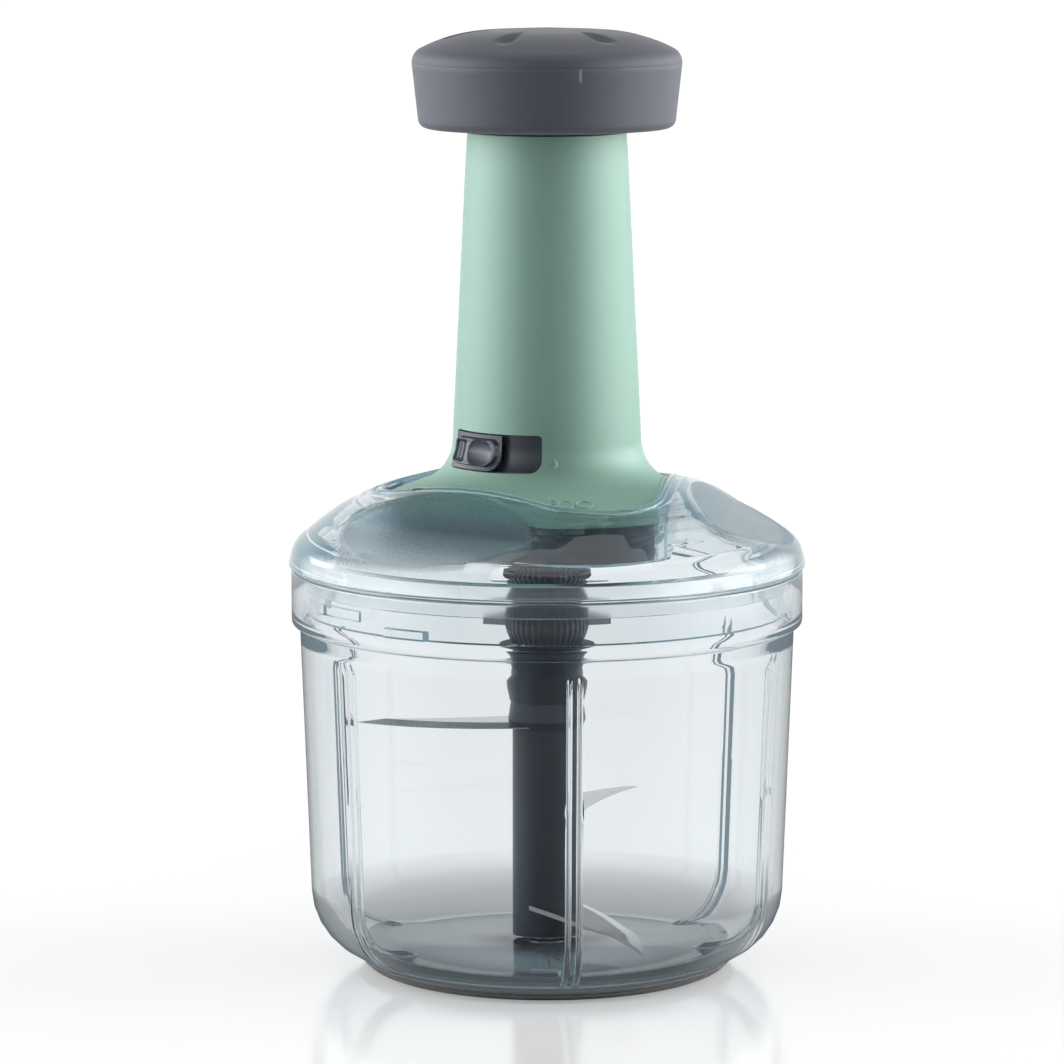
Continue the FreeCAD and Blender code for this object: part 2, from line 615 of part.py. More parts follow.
def make_bowl():
    ledge = s.collar_bottom - s.collar_wall / 2
    body = turned_body("bowl", [
        (0, s.bowl_underside),
        (s.bowl_base_radius, s.bowl_underside, s.bowl_corner),
        (s.bowl_radius, s.collar_bottom),
        (s.collar_radius, s.collar_bottom, s.collar_edge),
        (s.collar_radius, s.collar_top, s.collar_wall / 4),
        (s.collar_bore, s.collar_top),
        (s.collar_bore, ledge),
        (s.bowl_bore, ledge - s.bowl_wall),
        (s.floor_bore, s.floor_top, s.bowl_corner - s.bowl_wall),
        (s.boss_radius, s.floor_top),
        (s.boss_radius, s.boss_top),
        (s.pin_radius, s.boss_top),
        (s.pin_radius, s.pin_foot),
        (0, s.pin_foot)])
    # the double ribs run down the wall and round the corner
    lean = (s.bowl_bore - s.floor_bore) / (ledge - s.bowl_wall - s.floor_top)
    rib_radius = s.floor_bore + lean * (s.rib_top - s.floor_top)
    corner = s.bowl_corner - s.bowl_wall
    path = new_sketch(body, "rib_path", "XZ_Plane", 0, s.rib_turn)
    tilt = math.atan(lean.value)
    middle = Vector(float(s.floor_bore - corner), float(s.floor_top + corner), 0)
    middle.x += float(corner) * math.tan(tilt) - float(corner) * (1 / math.cos(tilt) - 1)
    bend = path.addGeometry(Part.ArcOfCircle(Part.Circle(middle, Vector(0, 0, 1), float(corner)),
                                             -math.pi / 2, -tilt), False)
    wall = path.addGeometry(Part.LineSegment(
        middle + Vector(math.cos(tilt), -math.sin(tilt), 0) * float(corner),
        Vector(float(rib_radius), float(s.rib_top), 0)), False)
    path.addConstraint(Constraint("Tangent", wall, 1, bend, 2))
    index = path.addConstraint(Constraint("Radius", bend, float(corner)))
    bind(path, "Constraints[%d]" % index, corner)
    lock(path, wall, 2, rib_radius, s.rib_top)
    line = path.addGeometry(Part.Point(Vector(float(s.floor_bore), float(s.floor_top), 0)), True)
    path.addConstraint(Constraint("PointOnObject", line, 1, wall))
    lock(path, line, 1, s.floor_bore, s.floor_top)
    index = path.addConstraint(Constraint("DistanceY", -1, 1, bend, 1, float(s.floor_top)))
    bind(path, "Constraints[%d]" % index, s.floor_top)
    path.addConstraint(Constraint("Vertical", bend, 1, bend, 3))
    section = new_sketch(body, "rib_section", "XY_Plane", s.rib_top, s.rib_turn)
    half = s.rib_width / 2
    groove = s.rib_groove / 2
    outline(section, [
        (rib_radius + s.rib_rise / 3, -half),
        (rib_radius + s.rib_rise / 3, half),
        (rib_radius - s.rib_rise, half - groove / 2),
        (rib_radius - s.rib_rise, groove),
        (rib_radius - s.rib_rise / 3, 0),
        (rib_radius - s.rib_rise, -groove),
        (rib_radius - s.rib_rise, groove / 2 - half)])
    rib = body.newObject("PartDesign::AdditivePipe", "rib")
    rib.Profile = section
    rib.Spine = path
    body.Tip = rib
    round_pattern(body, "ribs", [rib], path, s.rib_count)
    sector(body, "lug", s.collar_bore - s.lug_reach, s.bowl_lug_bottom,
           s.collar_bore + s.collar_wall / 2, s.bowl_lug_bottom + s.lug_thickness,
           s.bowl_lug_turn, s.bowl_lug_width, count=2)
    return body


def make_centre_pin():
    tip = s.pin_radius / 4
    return turned_body("centre_pin", [
        (0, s.pin_foot),
        (s.pin_radius, s.pin_foot),
        (s.pin_radius, s.pin_top, tip),
        (0, s.pin_top)])


def make_base_pad(bowl):
    ring = turned_body("pad_block", [
        (0, s.pad_relief),
        (s.pad_radius - s.pad_foot, s.pad_relief),
        (s.pad_radius - s.pad_foot + s.pad_relief, 0),
        (s.pad_radius, 0, s.pad_relief / 2),
        (s.pad_radius, s.pad_height),
        (s.bowl_base_radius - s.bowl_corner, s.pad_height),
        (s.bowl_base_radius - s.bowl_corner, s.bowl_underside),
        (0, s.bowl_underside)])
    return cut_from("base_pad", ring, bowl)


# ---- blades

def make_blade(name, height, turn, tilt=0):
    # Flat crescent along +X with its bowed cutting edge on the +Y side.
    body = new_body(name + "_plate")
    plan = new_sketch(body, name + "_plan", "XY_Plane")
    half = s.blade_root_width / 2
    heel = Vector(float(s.blade_root), float(half), 0)
    back = Vector(float(s.blade_root), -float(half), 0)
    tip = Vector(float(s.blade_reach), -float(s.blade_sweep), 0)
    plan.addGeometry(Part.LineSegment(back, heel), False)
    for corner, radius in ((heel, s.blade_edge_radius), (back, s.blade_back_radius)):
        chord = corner - tip
        rise = math.sqrt(float(radius) ** 2 - chord.Length ** 2 / 4)
        centre = tip + chord / 2 + Vector(-chord.y, chord.x, 0).normalize() * rise
        angles = [math.atan2(p.y - centre.y, p.x - centre.x) for p in (tip, corner)]
        arc = plan.addGeometry(Part.ArcOfCircle(Part.Circle(centre, Vector(0, 0, 1), float(radius)),
                                                angles[0], angles[1]), False)
        index = plan.addConstraint(Constraint("Radius", arc, float(radius)))
        bind(plan, "Constraints[%d]" % index, radius)
    plan.addConstraint(Constraint("Coincident", 0, 2, 1, 2))
    plan.addConstraint(Constraint("Coincident", 0, 1, 2, 2))
    plan.addConstraint(Constraint("Coincident", 1, 1, 2, 1))
    lock(plan, 0, 1, s.blade_root, -half)
    lock(plan, 0, 2, s.blade_root, half)
    lock(plan, 1, 1, s.blade_reach, -s.blade_sweep)
    plate = padded(body, name + "_sheet", plan, s.blade_thickness)
    doc.recompute()
    edges = ["Edge%d" % i for i, edge in enumerate(plate.Shape.Edges, 1)
             if edge.BoundBox.ZMin > float(s.blade_thickness) / 2
             and edge.Curve.TypeId == "Part::GeomCircle"
             and abs(edge.Curve.Radius - float(s.blade_edge_radius)) < 0.01]
    bevel = body.newObject("PartDesign::Chamfer", name + "_bevel")
    bevel.Base = (plate, edges)
    bevel.ChamferType = "Two distances"
    bind(bevel, "Size", s.blade_thickness * 0.8)
    bind(bevel, "Size2", s.blade_bevel)
    body.Tip = bevel
    body.Placement = Placement(Vector(0, 0, 0), Rotation(float(turn), float(size(tilt)), 0))
    bind(body, "Placement.Base.z", height)
    body.Label = name
    return body


def make_blade_column(blades):
    body = turned_body("column_block", [
        (s.boss_radius + s.open_gap, s.column_bottom),
        (s.column_radius, s.column_bottom),
        (s.column_radius, s.step_bottom),
        (s.column_radius + s.step_foot, s.step_bottom),
        (s.step_radius, s.step_bottom + s.step_rise),
        (s.column_radius + s.step_foot, s.cup_top - s.cup_flare),
        (s.column_radius + s.cup_foot, s.cup_top - s.cup_flare),
        (s.cup_radius, s.cup_top),
        (s.cup_bore, s.cup_top),
        (s.cup_bore, s.cup_bottom),
        (0, s.cup_bottom),
        (0, s.pin_top + s.open_gap),
        (s.pin_radius + s.running_gap, s.pin_top + s.open_gap),
        (s.pin_radius + s.running_gap, s.boss_top + s.open_gap),
        (s.boss_radius + s.open_gap, s.boss_top + s.open_gap)])
    sector(body, "dog", s.dog_inner, s.cup_bottom, s.cup_bore + s.cup_wall / 4, s.cup_top - s.cup_flare / 2,
           s.scoop_turn, s.dog_width, count=s.dog_count)
    return cut_from("blade_column", body, joined("blade_roots", blades))


# ---- lid

def scoop_corners(wall):
    # V notch above two faces that meet in the crease, lowered by a wall thickness.
    upper = s.scoop_upper_rise / s.scoop_upper_run
    lower = s.scoop_lower_drop / s.scoop_lower_run
    upper_drop = wall * root(1 + upper * upper)
    lower_drop = wall * root(1 + lower * lower)
    shift = (lower_drop - upper_drop) / (upper - lower)
    crease_radius = s.scoop_crease_radius + shift
    crease_height = s.scoop_crease_height - upper_drop - upper * shift
    reach = s.lid_radius - s.scoop_crease_radius
    top = s.dome_inner_height + reach
    return [(crease_radius, crease_height),
            (crease_radius + reach, crease_height - lower * reach),
            (crease_radius + reach, top),
            (crease_radius - reach, top),
            (crease_radius - reach, crease_height + upper * reach)]


def cut_scoops(body, name, wall):
    notch = outline(new_sketch(body, name + "_notch", "XZ_Plane", 0, s.scoop_turn), scoop_corners(wall))
    pocket = padded(body, name, notch, s.lid_radius * 1.2, both_ways=True, cut=True)
    round_pattern(body, name + "_ring", [pocket], notch, s.scoop_count)


def make_lid():
    solid = turned_body("lid_solid", [
        (0, s.skirt_bottom),
        (s.skirt_outer, s.skirt_bottom),
        (s.skirt_outer, s.rim_bottom + s.lid_wall * 1.6),
        (s.lid_radius - s.lid_wall, s.rim_bottom + s.lid_wall * 1.6),
        (s.lid_radius - s.lid_wall, s.rim_bottom),
        (s.lid_radius, s.rim_bottom),
        (s.dome_edge_radius, s.dome_edge_height, s.dome_edge_curve),
        (s.dome_knee_radius, s.dome_knee_height, s.dome_knee_curve),
        (s.dome_inner_radius, s.dome_inner_height),
        (0, s.dome_inner_height)])
    cut_scoops(solid, "scoops", size(0))
    sector(solid, "lid_lug", s.skirt_outer - s.skirt_wall / 2, s.lid_lug_bottom,
           s.collar_bore - s.open_gap, s.lid_lug_bottom + s.lug_thickness,
           s.bowl_lug_turn + s.lid_lock_turn, s.lid_lug_width, count=2)
    void = turned_body("lid_void", [
        (0, s.skirt_bottom - s.lid_wall),
        (s.skirt_bore, s.skirt_bottom - s.lid_wall),
        (s.skirt_bore, s.dome_edge_height),
        (s.dome_knee_radius - s.lid_wall / 3, s.dome_knee_height - s.lid_wall, s.dome_knee_curve / 2),
        (s.dome_inner_radius, s.dome_inner_height - s.lid_wall),
        (0, s.dome_inner_height - s.lid_wall)])
    cut_scoops(void, "scoops_inside", s.scoop_wall)
    block = lobed_block("socket_block", s.lid_wall, s.socket_floor_bottom, s.dome_inner_height)
    shell = cut_from("lid_shell", solid, cut_from("lid_hollow", void, block))
    hole = lobed_block("socket_hole", 0, s.socket_floor_height, s.dome_inner_height + s.lid_wall)
    floor_hole = rod("floor_hole", s.hub_hole, s.socket_floor_bottom - s.lid_wall,
                     s.socket_floor_height + s.lid_wall)
    screw_holes = rods("lid_screw_holes", s.screw_radius + s.open_gap,
                       s.socket_floor_bottom - s.lid_wall, s.socket_floor_height + s.lid_wall, s.screw_circle)
    return cut_from("lid", shell, joined("socket", [hole, floor_hole, screw_holes]))


def make_lid_seal():
    bottom = s.collar_top + s.seat_gap
    top = s.rim_bottom - s.seat_gap
    inner = s.skirt_outer + s.running_gap
    lip = s.lid_radius - s.lid_wall - s.open_gap
    return turned_body("lid_seal", [
        (inner, bottom - s.lid_wall * 1.8),
        (s.collar_bore - s.open_gap * 2, bottom - s.lid_wall * 1.8),
        (s.collar_bore - s.open_gap * 2, bottom),
        (s.collar_radius - s.open_gap, bottom),
        (s.collar_radius - s.open_gap, top),
        (lip, top),
        (lip, s.rim_bottom + s.lid_wall * 1.6 - s.open_gap),
        (inner, s.rim_bottom + s.lid_wall * 1.6 - s.open_gap)])


# ---- housing and what it holds

def flare_corners(wall, bottom):
    # Outside of the housing, or its inside when wall is the wall thickness.
    slope = (s.flare_corner_height - s.flare_edge_height) / (s.flare_edge_radius - s.flare_corner_radius)
    return [
        (0, bottom),
        (s.flare_edge_radius + s.flare_drop, bottom),
        (s.flare_edge_radius + s.flare_drop - wall, s.flare_edge_height - s.flare_drop * 0.42 - wall / 2),
        (s.flare_edge_radius - wall / 2, s.flare_edge_height - wall, s.flare_edge_curve),
        (s.flare_corner_radius - wall, s.flare_corner_height + (slope - 1) * wall, s.flare_curve + wall),
        (s.tube_foot_radius - wall, s.tube_foot + wall * 2),
        (s.tube_top_radius - wall, s.tube_top + wall / 2),
        (0, s.tube_top + wall / 2)]


def make_housing(hollow):
    skin = lobed_block("housing_rim", -s.socket_play, s.housing_bottom - s.housing_wall,
                       s.tube_top + s.housing_wall)
    solid = shared("housing_solid", [turned_body("housing_form", flare_corners(size(0), s.housing_bottom)),
                                     skin])
    shell = cut_from("housing_shell", solid, hollow)
    boss_height = s.flare_edge_height - s.housing_wall / 2
    bosses = rods("housing_bosses", s.screw_boss_radius, s.housing_bottom, boss_height, s.screw_circle)
    slot = new_body("slot_block")
    sector(slot, "slot", s.track_inner, s.slot_bottom, s.flare_edge_radius, s.slot_bottom + s.slot_height,
           s.slot_middle, s.slot_width)
    screw_holes = rods("housing_screw_holes", s.screw_radius, s.housing_bottom - s.housing_wall,
                       s.screw_top, s.screw_circle)
    whole = joined("housing_with_bosses", [shell, bosses])
    return cut_from("housing", whole, joined("housing_cuts", [slot, screw_holes]))


def make_housing_hollow():
    form = turned_body("hollow_form", flare_corners(s.housing_wall, s.housing_bottom - s.housing_wall * 2))
    rim = lobed_block("hollow_rim", -s.socket_play - s.housing_wall, s.housing_bottom - s.housing_wall * 2,
                      s.tube_top + s.housing_wall)
    return shared("housing_hollow", [form, rim])


def make_guide_bush():
    body = turned_body("guide_bush", [
        (s.plunger_radius + s.running_gap, s.guide_bottom),
        (s.guide_outer, s.guide_bottom),
        (s.guide_outer, s.tube_top),
        (s.plunger_radius + s.running_gap, s.tube_top)])
    sector(body, "guide_key", s.groove_floor + s.open_gap / 2, s.guide_bottom,
           s.plunger_radius + s.guide_wall / 2, s.tube_top, s.scoop_turn, s.key_width, count=s.key_count)
    return body


def make_switch_track(hollow):
    body = new_body("track_block")
    sector(body, "track_arc", s.track_inner, s.slot_bottom - s.housing_wall,
           s.tube_foot_radius - s.open_gap * 2, s.slot_bottom + s.slot_height + s.housing_wall,
           s.slot_middle, s.slot_width + s.track_margin * 2)
    middle = s.slot_bottom + s.slot_height / 2
    gap = s.stem_height / 2 + s.open_gap
    sector(body, "track_window", s.track_inner - s.housing_wall, middle - gap,
           s.flare_edge_radius, middle + gap, s.stem_middle + s.switch_travel / 2,
           s.switch_travel + s.stem_width + s.open_gap * 6, cut=True)
    return shared("switch_track", [body, hollow])


def make_base_cover():
    bottom = s.socket_floor_height + s.seat_gap
    inside = bottom + s.cover_floor
    top = s.housing_bottom - s.seat_gap
    shell = cut_from("cover_shell", lobed_block("cover_block", -s.cover_play, bottom, top),
                     lobed_block("cover_hollow", -s.cover_play - s.cover_wall, inside, top + s.cover_wall))
    nozzle = rod("cover_nozzle", s.hub_hole - s.open_gap, s.socket_floor_bottom, inside)
    bosses = rods("cover_bosses", s.screw_boss_radius, bottom, top, s.screw_circle)
    posts = rods("cover_posts", s.post_radius, bottom, s.plate_bottom, s.post_circle)
    whole = joined("cover_with_bosses", [shell, nozzle, bosses, posts])
    reach = s.plate_thickness
    bore = rod("cover_bore", s.bush_outer, s.socket_floor_bottom - reach, inside + reach)
    screw_holes = rods("cover_screw_holes", s.screw_radius + s.open_gap, bottom - reach, top + reach,
                       s.screw_circle)
    pilots = rods("post_pilots", s.plate_screw_radius, s.plate_top
                  - s.plate_screw_length, s.plate_bottom + reach, s.post_circle)
    return cut_from("base_cover", whole, joined("cover_holes", [bore, screw_holes, pilots]))


def make_driver_bush():
    inside = s.socket_floor_height + s.seat_gap + s.cover_floor
    return turned_body("driver_bush", [
        (s.driver_radius + s.running_gap, s.socket_floor_bottom),
        (s.bush_outer, s.socket_floor_bottom),
        (s.bush_outer, inside),
        (s.driver_flange_radius, inside),
        (s.driver_flange_radius, inside + s.plate_thickness / 2),
        (s.driver_radius + s.running_gap, inside + s.plate_thickness / 2)])


def make_bearing_plate():
    disc = turned_body("plate_disc", [
        (s.plate_hole, s.plate_bottom),
        (s.plate_radius, s.plate_bottom),
        (s.plate_radius, s.plate_top),
        (s.plate_hole, s.plate_top)])
    holes = rods("plate_holes", s.plate_screw_radius, s.plate_bottom - s.plate_thickness,
                 s.plate_top * 2, s.post_circle)
    return cut_from("bearing_plate", disc, holes)


def make_screws(name, circle, head_radius, head, shank_radius, bottom, top, head_up):
    shanks = rods(name + "_shanks", shank_radius, bottom, top, circle)
    if head_up:
        heads = rods(name + "_heads", head_radius, top, top + head, circle)
    else:
        heads = rods(name + "_heads", head_radius, bottom - head, bottom, circle)
    return joined(name, [shanks, heads])


# ---- driver and spindle

def make_drive_socket(vane):
    body = turned_body("driver_block", [
        (0, s.driver_bottom),
        (s.spigot_radius, s.driver_bottom),
        (s.spigot_radius, s.driver_shoulder),
        (s.driver_radius, s.driver_shoulder),
        (s.driver_radius, s.drip_height - s.drip_cone),
        (s.drip_radius, s.drip_height),
        (s.drip_radius, s.drip_height + s.drip_edge),
        (s.driver_radius, s.swell_height - s.swell_band / 2 - s.swell_slope),
        (s.swell_radius, s.swell_height - s.swell_band / 2),
        (s.swell_radius, s.swell_height + s.swell_band / 2),
        (s.driver_radius, s.swell_height + s.swell_band / 2 + s.swell_slope),
        (s.driver_radius, s.flange_bottom),
        (s.driver_flange_radius, s.flange_bottom),
        (s.driver_flange_radius, s.driver_top),
        (0, s.driver_top)])
    sector(body, "coupling_key", s.spigot_radius * 0.8, s.driver_bottom, s.key_radius,
           s.driver_shoulder + s.seat_gap, s.scoop_turn + 180, s.dog_width, count=s.dog_count)
    sector(body, "driver_tooth", s.driver_flange_radius - s.tooth_length, s.driver_top - s.tooth_rise / 2,
           s.driver_flange_radius, s.driver_top + s.tooth_rise, s.scoop_turn, s.tooth_width,
           count=s.tooth_count)
    return cut_from("drive_socket", body, vane)


def make_driver_vane():
    # Thin lens-shaped plate through the swelling: two arcs that meet in its tips.
    body = new_body("driver_vane")
    plan = new_sketch(body, "vane_plan", "XY_Plane", s.swell_height - s.vane_thickness / 2, s.vane_turn)
    reach, half = float(s.vane_reach), float(s.vane_width) / 2
    for side in (1, -1):
        arc = plan.addGeometry(Part.Arc(Vector(side * reach, 0, 0), Vector(0, side * half, 0),
                                        Vector(-side * reach, 0, 0)), False)
        crown = plan.addGeometry(Part.Point(Vector(0, side * half, 0)), True)
        plan.addConstraint(Constraint("PointOnObject", crown, 1, arc))
        lock(plan, crown, 1, 0, s.vane_width / 2 * side)
        lock(plan, arc, 1, s.vane_reach * side, 0)
        lock(plan, arc, 2, s.vane_reach * -side, 0)
    padded(body, "vane_plate", plan, s.vane_thickness)
    return body


def twisted_bar(name, width, thickness, bottom, top):
    # Flat bar twisted about +Z. It lies along X at height 0, so bars of all lengths line up.
    lead = float(s.strip_lead)
    low, high = float(bottom), float(top)
    half_width, half_thickness = float(width) / 2, float(thickness) / 2
    corners = [Vector(x * half_width, y * half_thickness, low)
               for x, y in ((-1, -1), (1, -1), (1, 1), (-1, 1), (-1, -1))]
    spine = Part.Wire(Part.makeLine(Vector(0, 0, low), Vector(0, 0, high)))
    guide = Part.makeHelix(lead, high - low, half_width)
    guide.translate(Vector(0, 0, low))
    sweep = Part.BRepOffsetAPI.MakePipeShell(spine)
    sweep.setAuxiliarySpine(Part.Wire(guide.Edges), True, 0)
    sweep.add(Part.makePolygon(corners))
    sweep.build()
    sweep.makeSolid()
    bar = sweep.shape()
    bar.rotate(Vector(0, 0, 0), Vector(0, 0, 1), 360 * low / lead)
    piece = doc.addObject("Part::Feature", name)
    piece.Shape = bar
    return piece


def make_spindle_hub(strip):
    body = turned_body("hub_block", [
        (0, s.hub_bottom),
        (s.hub_radius, s.hub_bottom),
        (s.hub_radius, s.hub_top, s.strip_thickness / 2),
        (0, s.hub_top)])
    sector(body, "hub_notch", s.driver_flange_radius - s.tooth_length, s.hub_bottom - s.open_gap,
           s.driver_flange_radius, s.hub_bottom + s.tooth_rise, s.scoop_turn, s.tooth_width,
           cut=True, count=s.tooth_count)
    return cut_from("spindle_hub", body, strip)


# ---- plunger and knob

def make_plunger_tube():
    body = turned_body("plunger_tube", [
        (s.plunger_bore, s.plunger_bottom),
        (s.foot_radius, s.plunger_bottom),
        (s.foot_radius, s.foot_top),
        (s.plunger_radius, s.foot_top),
        (s.plunger_radius, s.plunger_top),
        (s.knob_screw_radius, s.plunger_top),
        (s.knob_screw_radius, s.plunger_top - s.web_thickness),
        (s.plunger_bore, s.plunger_top - s.web_thickness)])
    sector(body, "key_groove", s.groove_floor, s.foot_top,
           s.plunger_radius + s.guide_wall, s.tube_top + s.open_gap, s.scoop_turn, s.groove_width,
           cut=True, count=s.key_count)
    return body


def make_drive_nut():
    body = turned_body("nut_block", [
        (s.nut_pocket, s.plunger_bottom),
        (s.plunger_bore, s.plunger_bottom),
        (s.plunger_bore, s.nut_top),
        (0, s.nut_top),
        (0, s.nut_web_bottom),
        (s.nut_pocket, s.nut_web_bottom)])
    slot = twisted_bar("nut_slot", s.strip_width + s.nut_gap * 2, s.strip_thickness + s.nut_gap * 2,
                       s.nut_web_bottom - s.nut_web, s.nut_top + s.nut_web)
    return cut_from("drive_nut", body, slot)


def make_return_spring():
    # Pressed together when the knob is down, from the bearing plate to the nut's web.
    wire = float(s.spring_wire)
    bottom = float(s.plate_top + s.seat_gap) + wire / 2
    top = float(s.nut_web_bottom - s.seat_gap) - wire / 2
    radius = float(s.spring_radius)
    helix = Part.makeHelix((top - bottom) / float(s.spring_coils), top - bottom, radius)
    corners = [Vector(radius + wire / 2 * math.cos(math.radians(60 * i)), 0,
                      wire / 2 * math.sin(math.radians(60 * i))) for i in range(7)]
    coil = Part.Wire(helix.Edges).makePipeShell([Part.makePolygon(corners)], True, True)
    coil.translate(Vector(0, 0, bottom))
    piece = doc.addObject("Part::Feature", "return_spring")
    piece.Shape = coil
    return piece


def knob_side(wall):
    # The crown, shoulder and side of the knob from the axis down, drawn in by a wall.
    return [
        (0, s.knob_top - wall),
        (s.knob_shoulder_radius - wall / 2, s.knob_shoulder_height - wall,
         s.knob_shoulder_curve - wall),
        (s.knob_radius - wall, s.knob_seam - wall / 5)]


def make_knob_grip():
    lip_radius = s.knob_foot_radius - s.knob_lip
    body = turned_body("knob_grip", knob_side(size(0)) + [
        (s.knob_foot_radius, s.knob_bottom, s.knob_foot_curve),
        (lip_radius, s.knob_bottom),
        (lip_radius, s.knob_bottom + s.grip_wall * 0.8),
        (s.knob_foot_radius - s.grip_wall, s.knob_bottom + s.grip_wall * 0.8)]
        + knob_side(s.grip_wall)[::-1])
    ball = body.newObject("PartDesign::SubtractiveSphere", "dimple")
    bind(ball, "Radius", s.dimple_ball)
    ball.AttachmentSupport = [([piece for piece in body.Origin.OriginFeatures
                                if piece.Role == "XY_Plane"][0], "")]
    ball.MapMode = "FlatFace"
    crown = s.knob_shoulder_height - s.grip_wall / 2
    turn = math.radians(float(s.dimple_turn))
    bind(ball, "AttachmentOffset.Base.x",
         s.dimple_circle * Size(math.cos(turn), "cos(Sizes.dimple_turn * 1 deg)"))
    bind(ball, "AttachmentOffset.Base.y",
         s.dimple_circle * Size(math.sin(turn), "sin(Sizes.dimple_turn * 1 deg)"))
    bind(ball, "AttachmentOffset.Base.z", crown + s.dimple_ball - s.dimple_depth)
    body.Tip = ball
    axis = [piece for piece in body.Origin.OriginFeatures if piece.Role == "Z_Axis"][0]
    ring = body.newObject("PartDesign::PolarPattern", "dimples")
    ring.Originals = [ball]
    ring.Axis = (axis, [""])
    ring.Angle = 360
    bind(ring, "Occurrences", s.dimple_count)
    body.Tip = ring
    return body


def make_knob_core():
    side = s.knob_foot_radius - s.grip_wall
    ceiling = s.knob_seam - s.grip_wall / 5
    socket = s.plunger_radius + s.seat_gap
    pilot_top = s.plunger_top + s.knob_screw_length
    return turned_body("knob_core", knob_side(s.grip_wall) + [
        (side, s.knob_bottom + s.grip_wall * 0.8),
        (side - s.core_wall, s.knob_bottom + s.grip_wall * 0.8),
        (side - s.core_wall, ceiling),
        (socket + s.core_wall, ceiling),
        (socket + s.core_wall, s.knob_bottom + s.grip_wall),
        (socket, s.knob_bottom + s.grip_wall),
        (socket, ceiling),
        (s.core_boss, ceiling),
        (s.core_boss, s.plunger_top),
        (s.knob_screw_radius, s.plunger_top),
        (s.knob_screw_radius, pilot_top),
        (0, pilot_top)])


def make_knob_screw():
    head_top = s.plunger_top - s.web_thickness
    return turned_body("knob_screw", [
        (0, head_top - s.screw_head),
        (s.screw_head_radius + s.screw_head / 2, head_top - s.screw_head, s.screw_head / 2),
        (s.screw_head_radius + s.screw_head / 2, head_top),
        (s.knob_screw_radius, head_top),
        (s.knob_screw_radius, s.plunger_top + s.knob_screw_length),
        (0, s.plunger_top + s.knob_screw_length)])


# ---- lock switch

def make_switch_button():
    body = new_body("switch_button")
    low = s.slot_bottom + s.button_rim
    high = s.slot_bottom + s.slot_height - s.button_rim
    inner = s.tube_foot_radius - s.open_gap
    face = outline(new_sketch(body, "button_outline", "XZ_Plane", 0, s.button_middle), [
        (inner, low),
        (s.flare_corner_radius + s.button_proud + s.flare_curve / 6, low, s.button_proud * 0.8),
        (s.flare_corner_radius + s.button_proud, (low + high) / 2, s.flare_curve),
        (s.tube_foot_radius + s.button_proud, high, s.button_proud * 0.8),
        (inner, high)])
    turned(body, "button_face", face, s.button_width)
    middle = s.slot_bottom + s.slot_height / 2
    sector(body, "stem", s.latch_outer, middle - s.stem_height / 2, inner + s.button_proud,
           middle + s.stem_height / 2, s.stem_middle, s.stem_width)
    return body


def make_latch_plate():
    body = new_body("latch_plate")
    middle = s.slot_bottom + s.slot_height / 2
    sector(body, "nose", s.latch_inner, s.latch_bottom, s.latch_outer,
           s.latch_bottom + s.latch_thickness, s.stem_middle, s.latch_width)
    sector(body, "riser", s.latch_inner, s.latch_bottom, s.latch_outer,
           middle + s.stem_height / 2, s.stem_middle, s.stem_width)
    return body


# ---- the whole chopper

bowl = make_bowl()
blades = [make_blade("blade_lower", s.lower_blade_height, s.blade_turn - s.blade_spread * 2,
                     s.lower_blade_tilt),
          make_blade("blade_middle", s.middle_blade_height, s.blade_turn - s.blade_spread),
          make_blade("blade_upper", s.upper_blade_height, s.blade_turn)]
driver_vane = make_driver_vane()
hollow = make_housing_hollow()
spindle_strip = twisted_bar("spindle_strip", s.strip_width, s.strip_thickness, s.strip_bottom, s.strip_top)
subparts = [bowl, make_centre_pin(), make_base_pad(bowl), make_blade_column(blades)] + blades + [
    make_lid_seal(), make_lid(), make_housing(hollow), make_guide_bush(), make_switch_track(hollow),
    make_base_cover(), make_driver_bush(), make_bearing_plate(),
    make_screws("lid_screws", s.screw_circle, s.screw_head_radius, s.screw_head, s.screw_radius,
                s.socket_floor_bottom, s.screw_top, False),
    make_screws("plate_screws", s.post_circle, s.screw_head_radius * 0.8, s.screw_head,
                s.plate_screw_radius, s.plate_top - s.plate_screw_length,
                s.plate_top, True),
    make_drive_socket(driver_vane), driver_vane, spindle_strip, make_spindle_hub(spindle_strip),
    make_plunger_tube(), make_drive_nut(), make_return_spring(), make_knob_grip(), make_knob_core(),
    make_knob_screw(), make_switch_button(), make_latch_plate()]

doc.recompute()
for thing in doc.Objects:
    if "Invalid" in thing.State or "Error" in thing.State:
        raise RuntimeError("%s failed: %s" % (thing.Label, thing.State))
os.makedirs("parts", exist_ok=True)
for piece in subparts:
    shape = piece.Shape
    if shape.isNull() or not shape.isValid() or not shape.Solids:
        raise RuntimeError("%s has no valid solid" % piece.Label)
for piece in subparts:
    piece.Shape.exportStep("parts/%s.step" % piece.Label)
    print(piece.Label, len(piece.Shape.Solids), round(piece.Shape.Volume, 1))
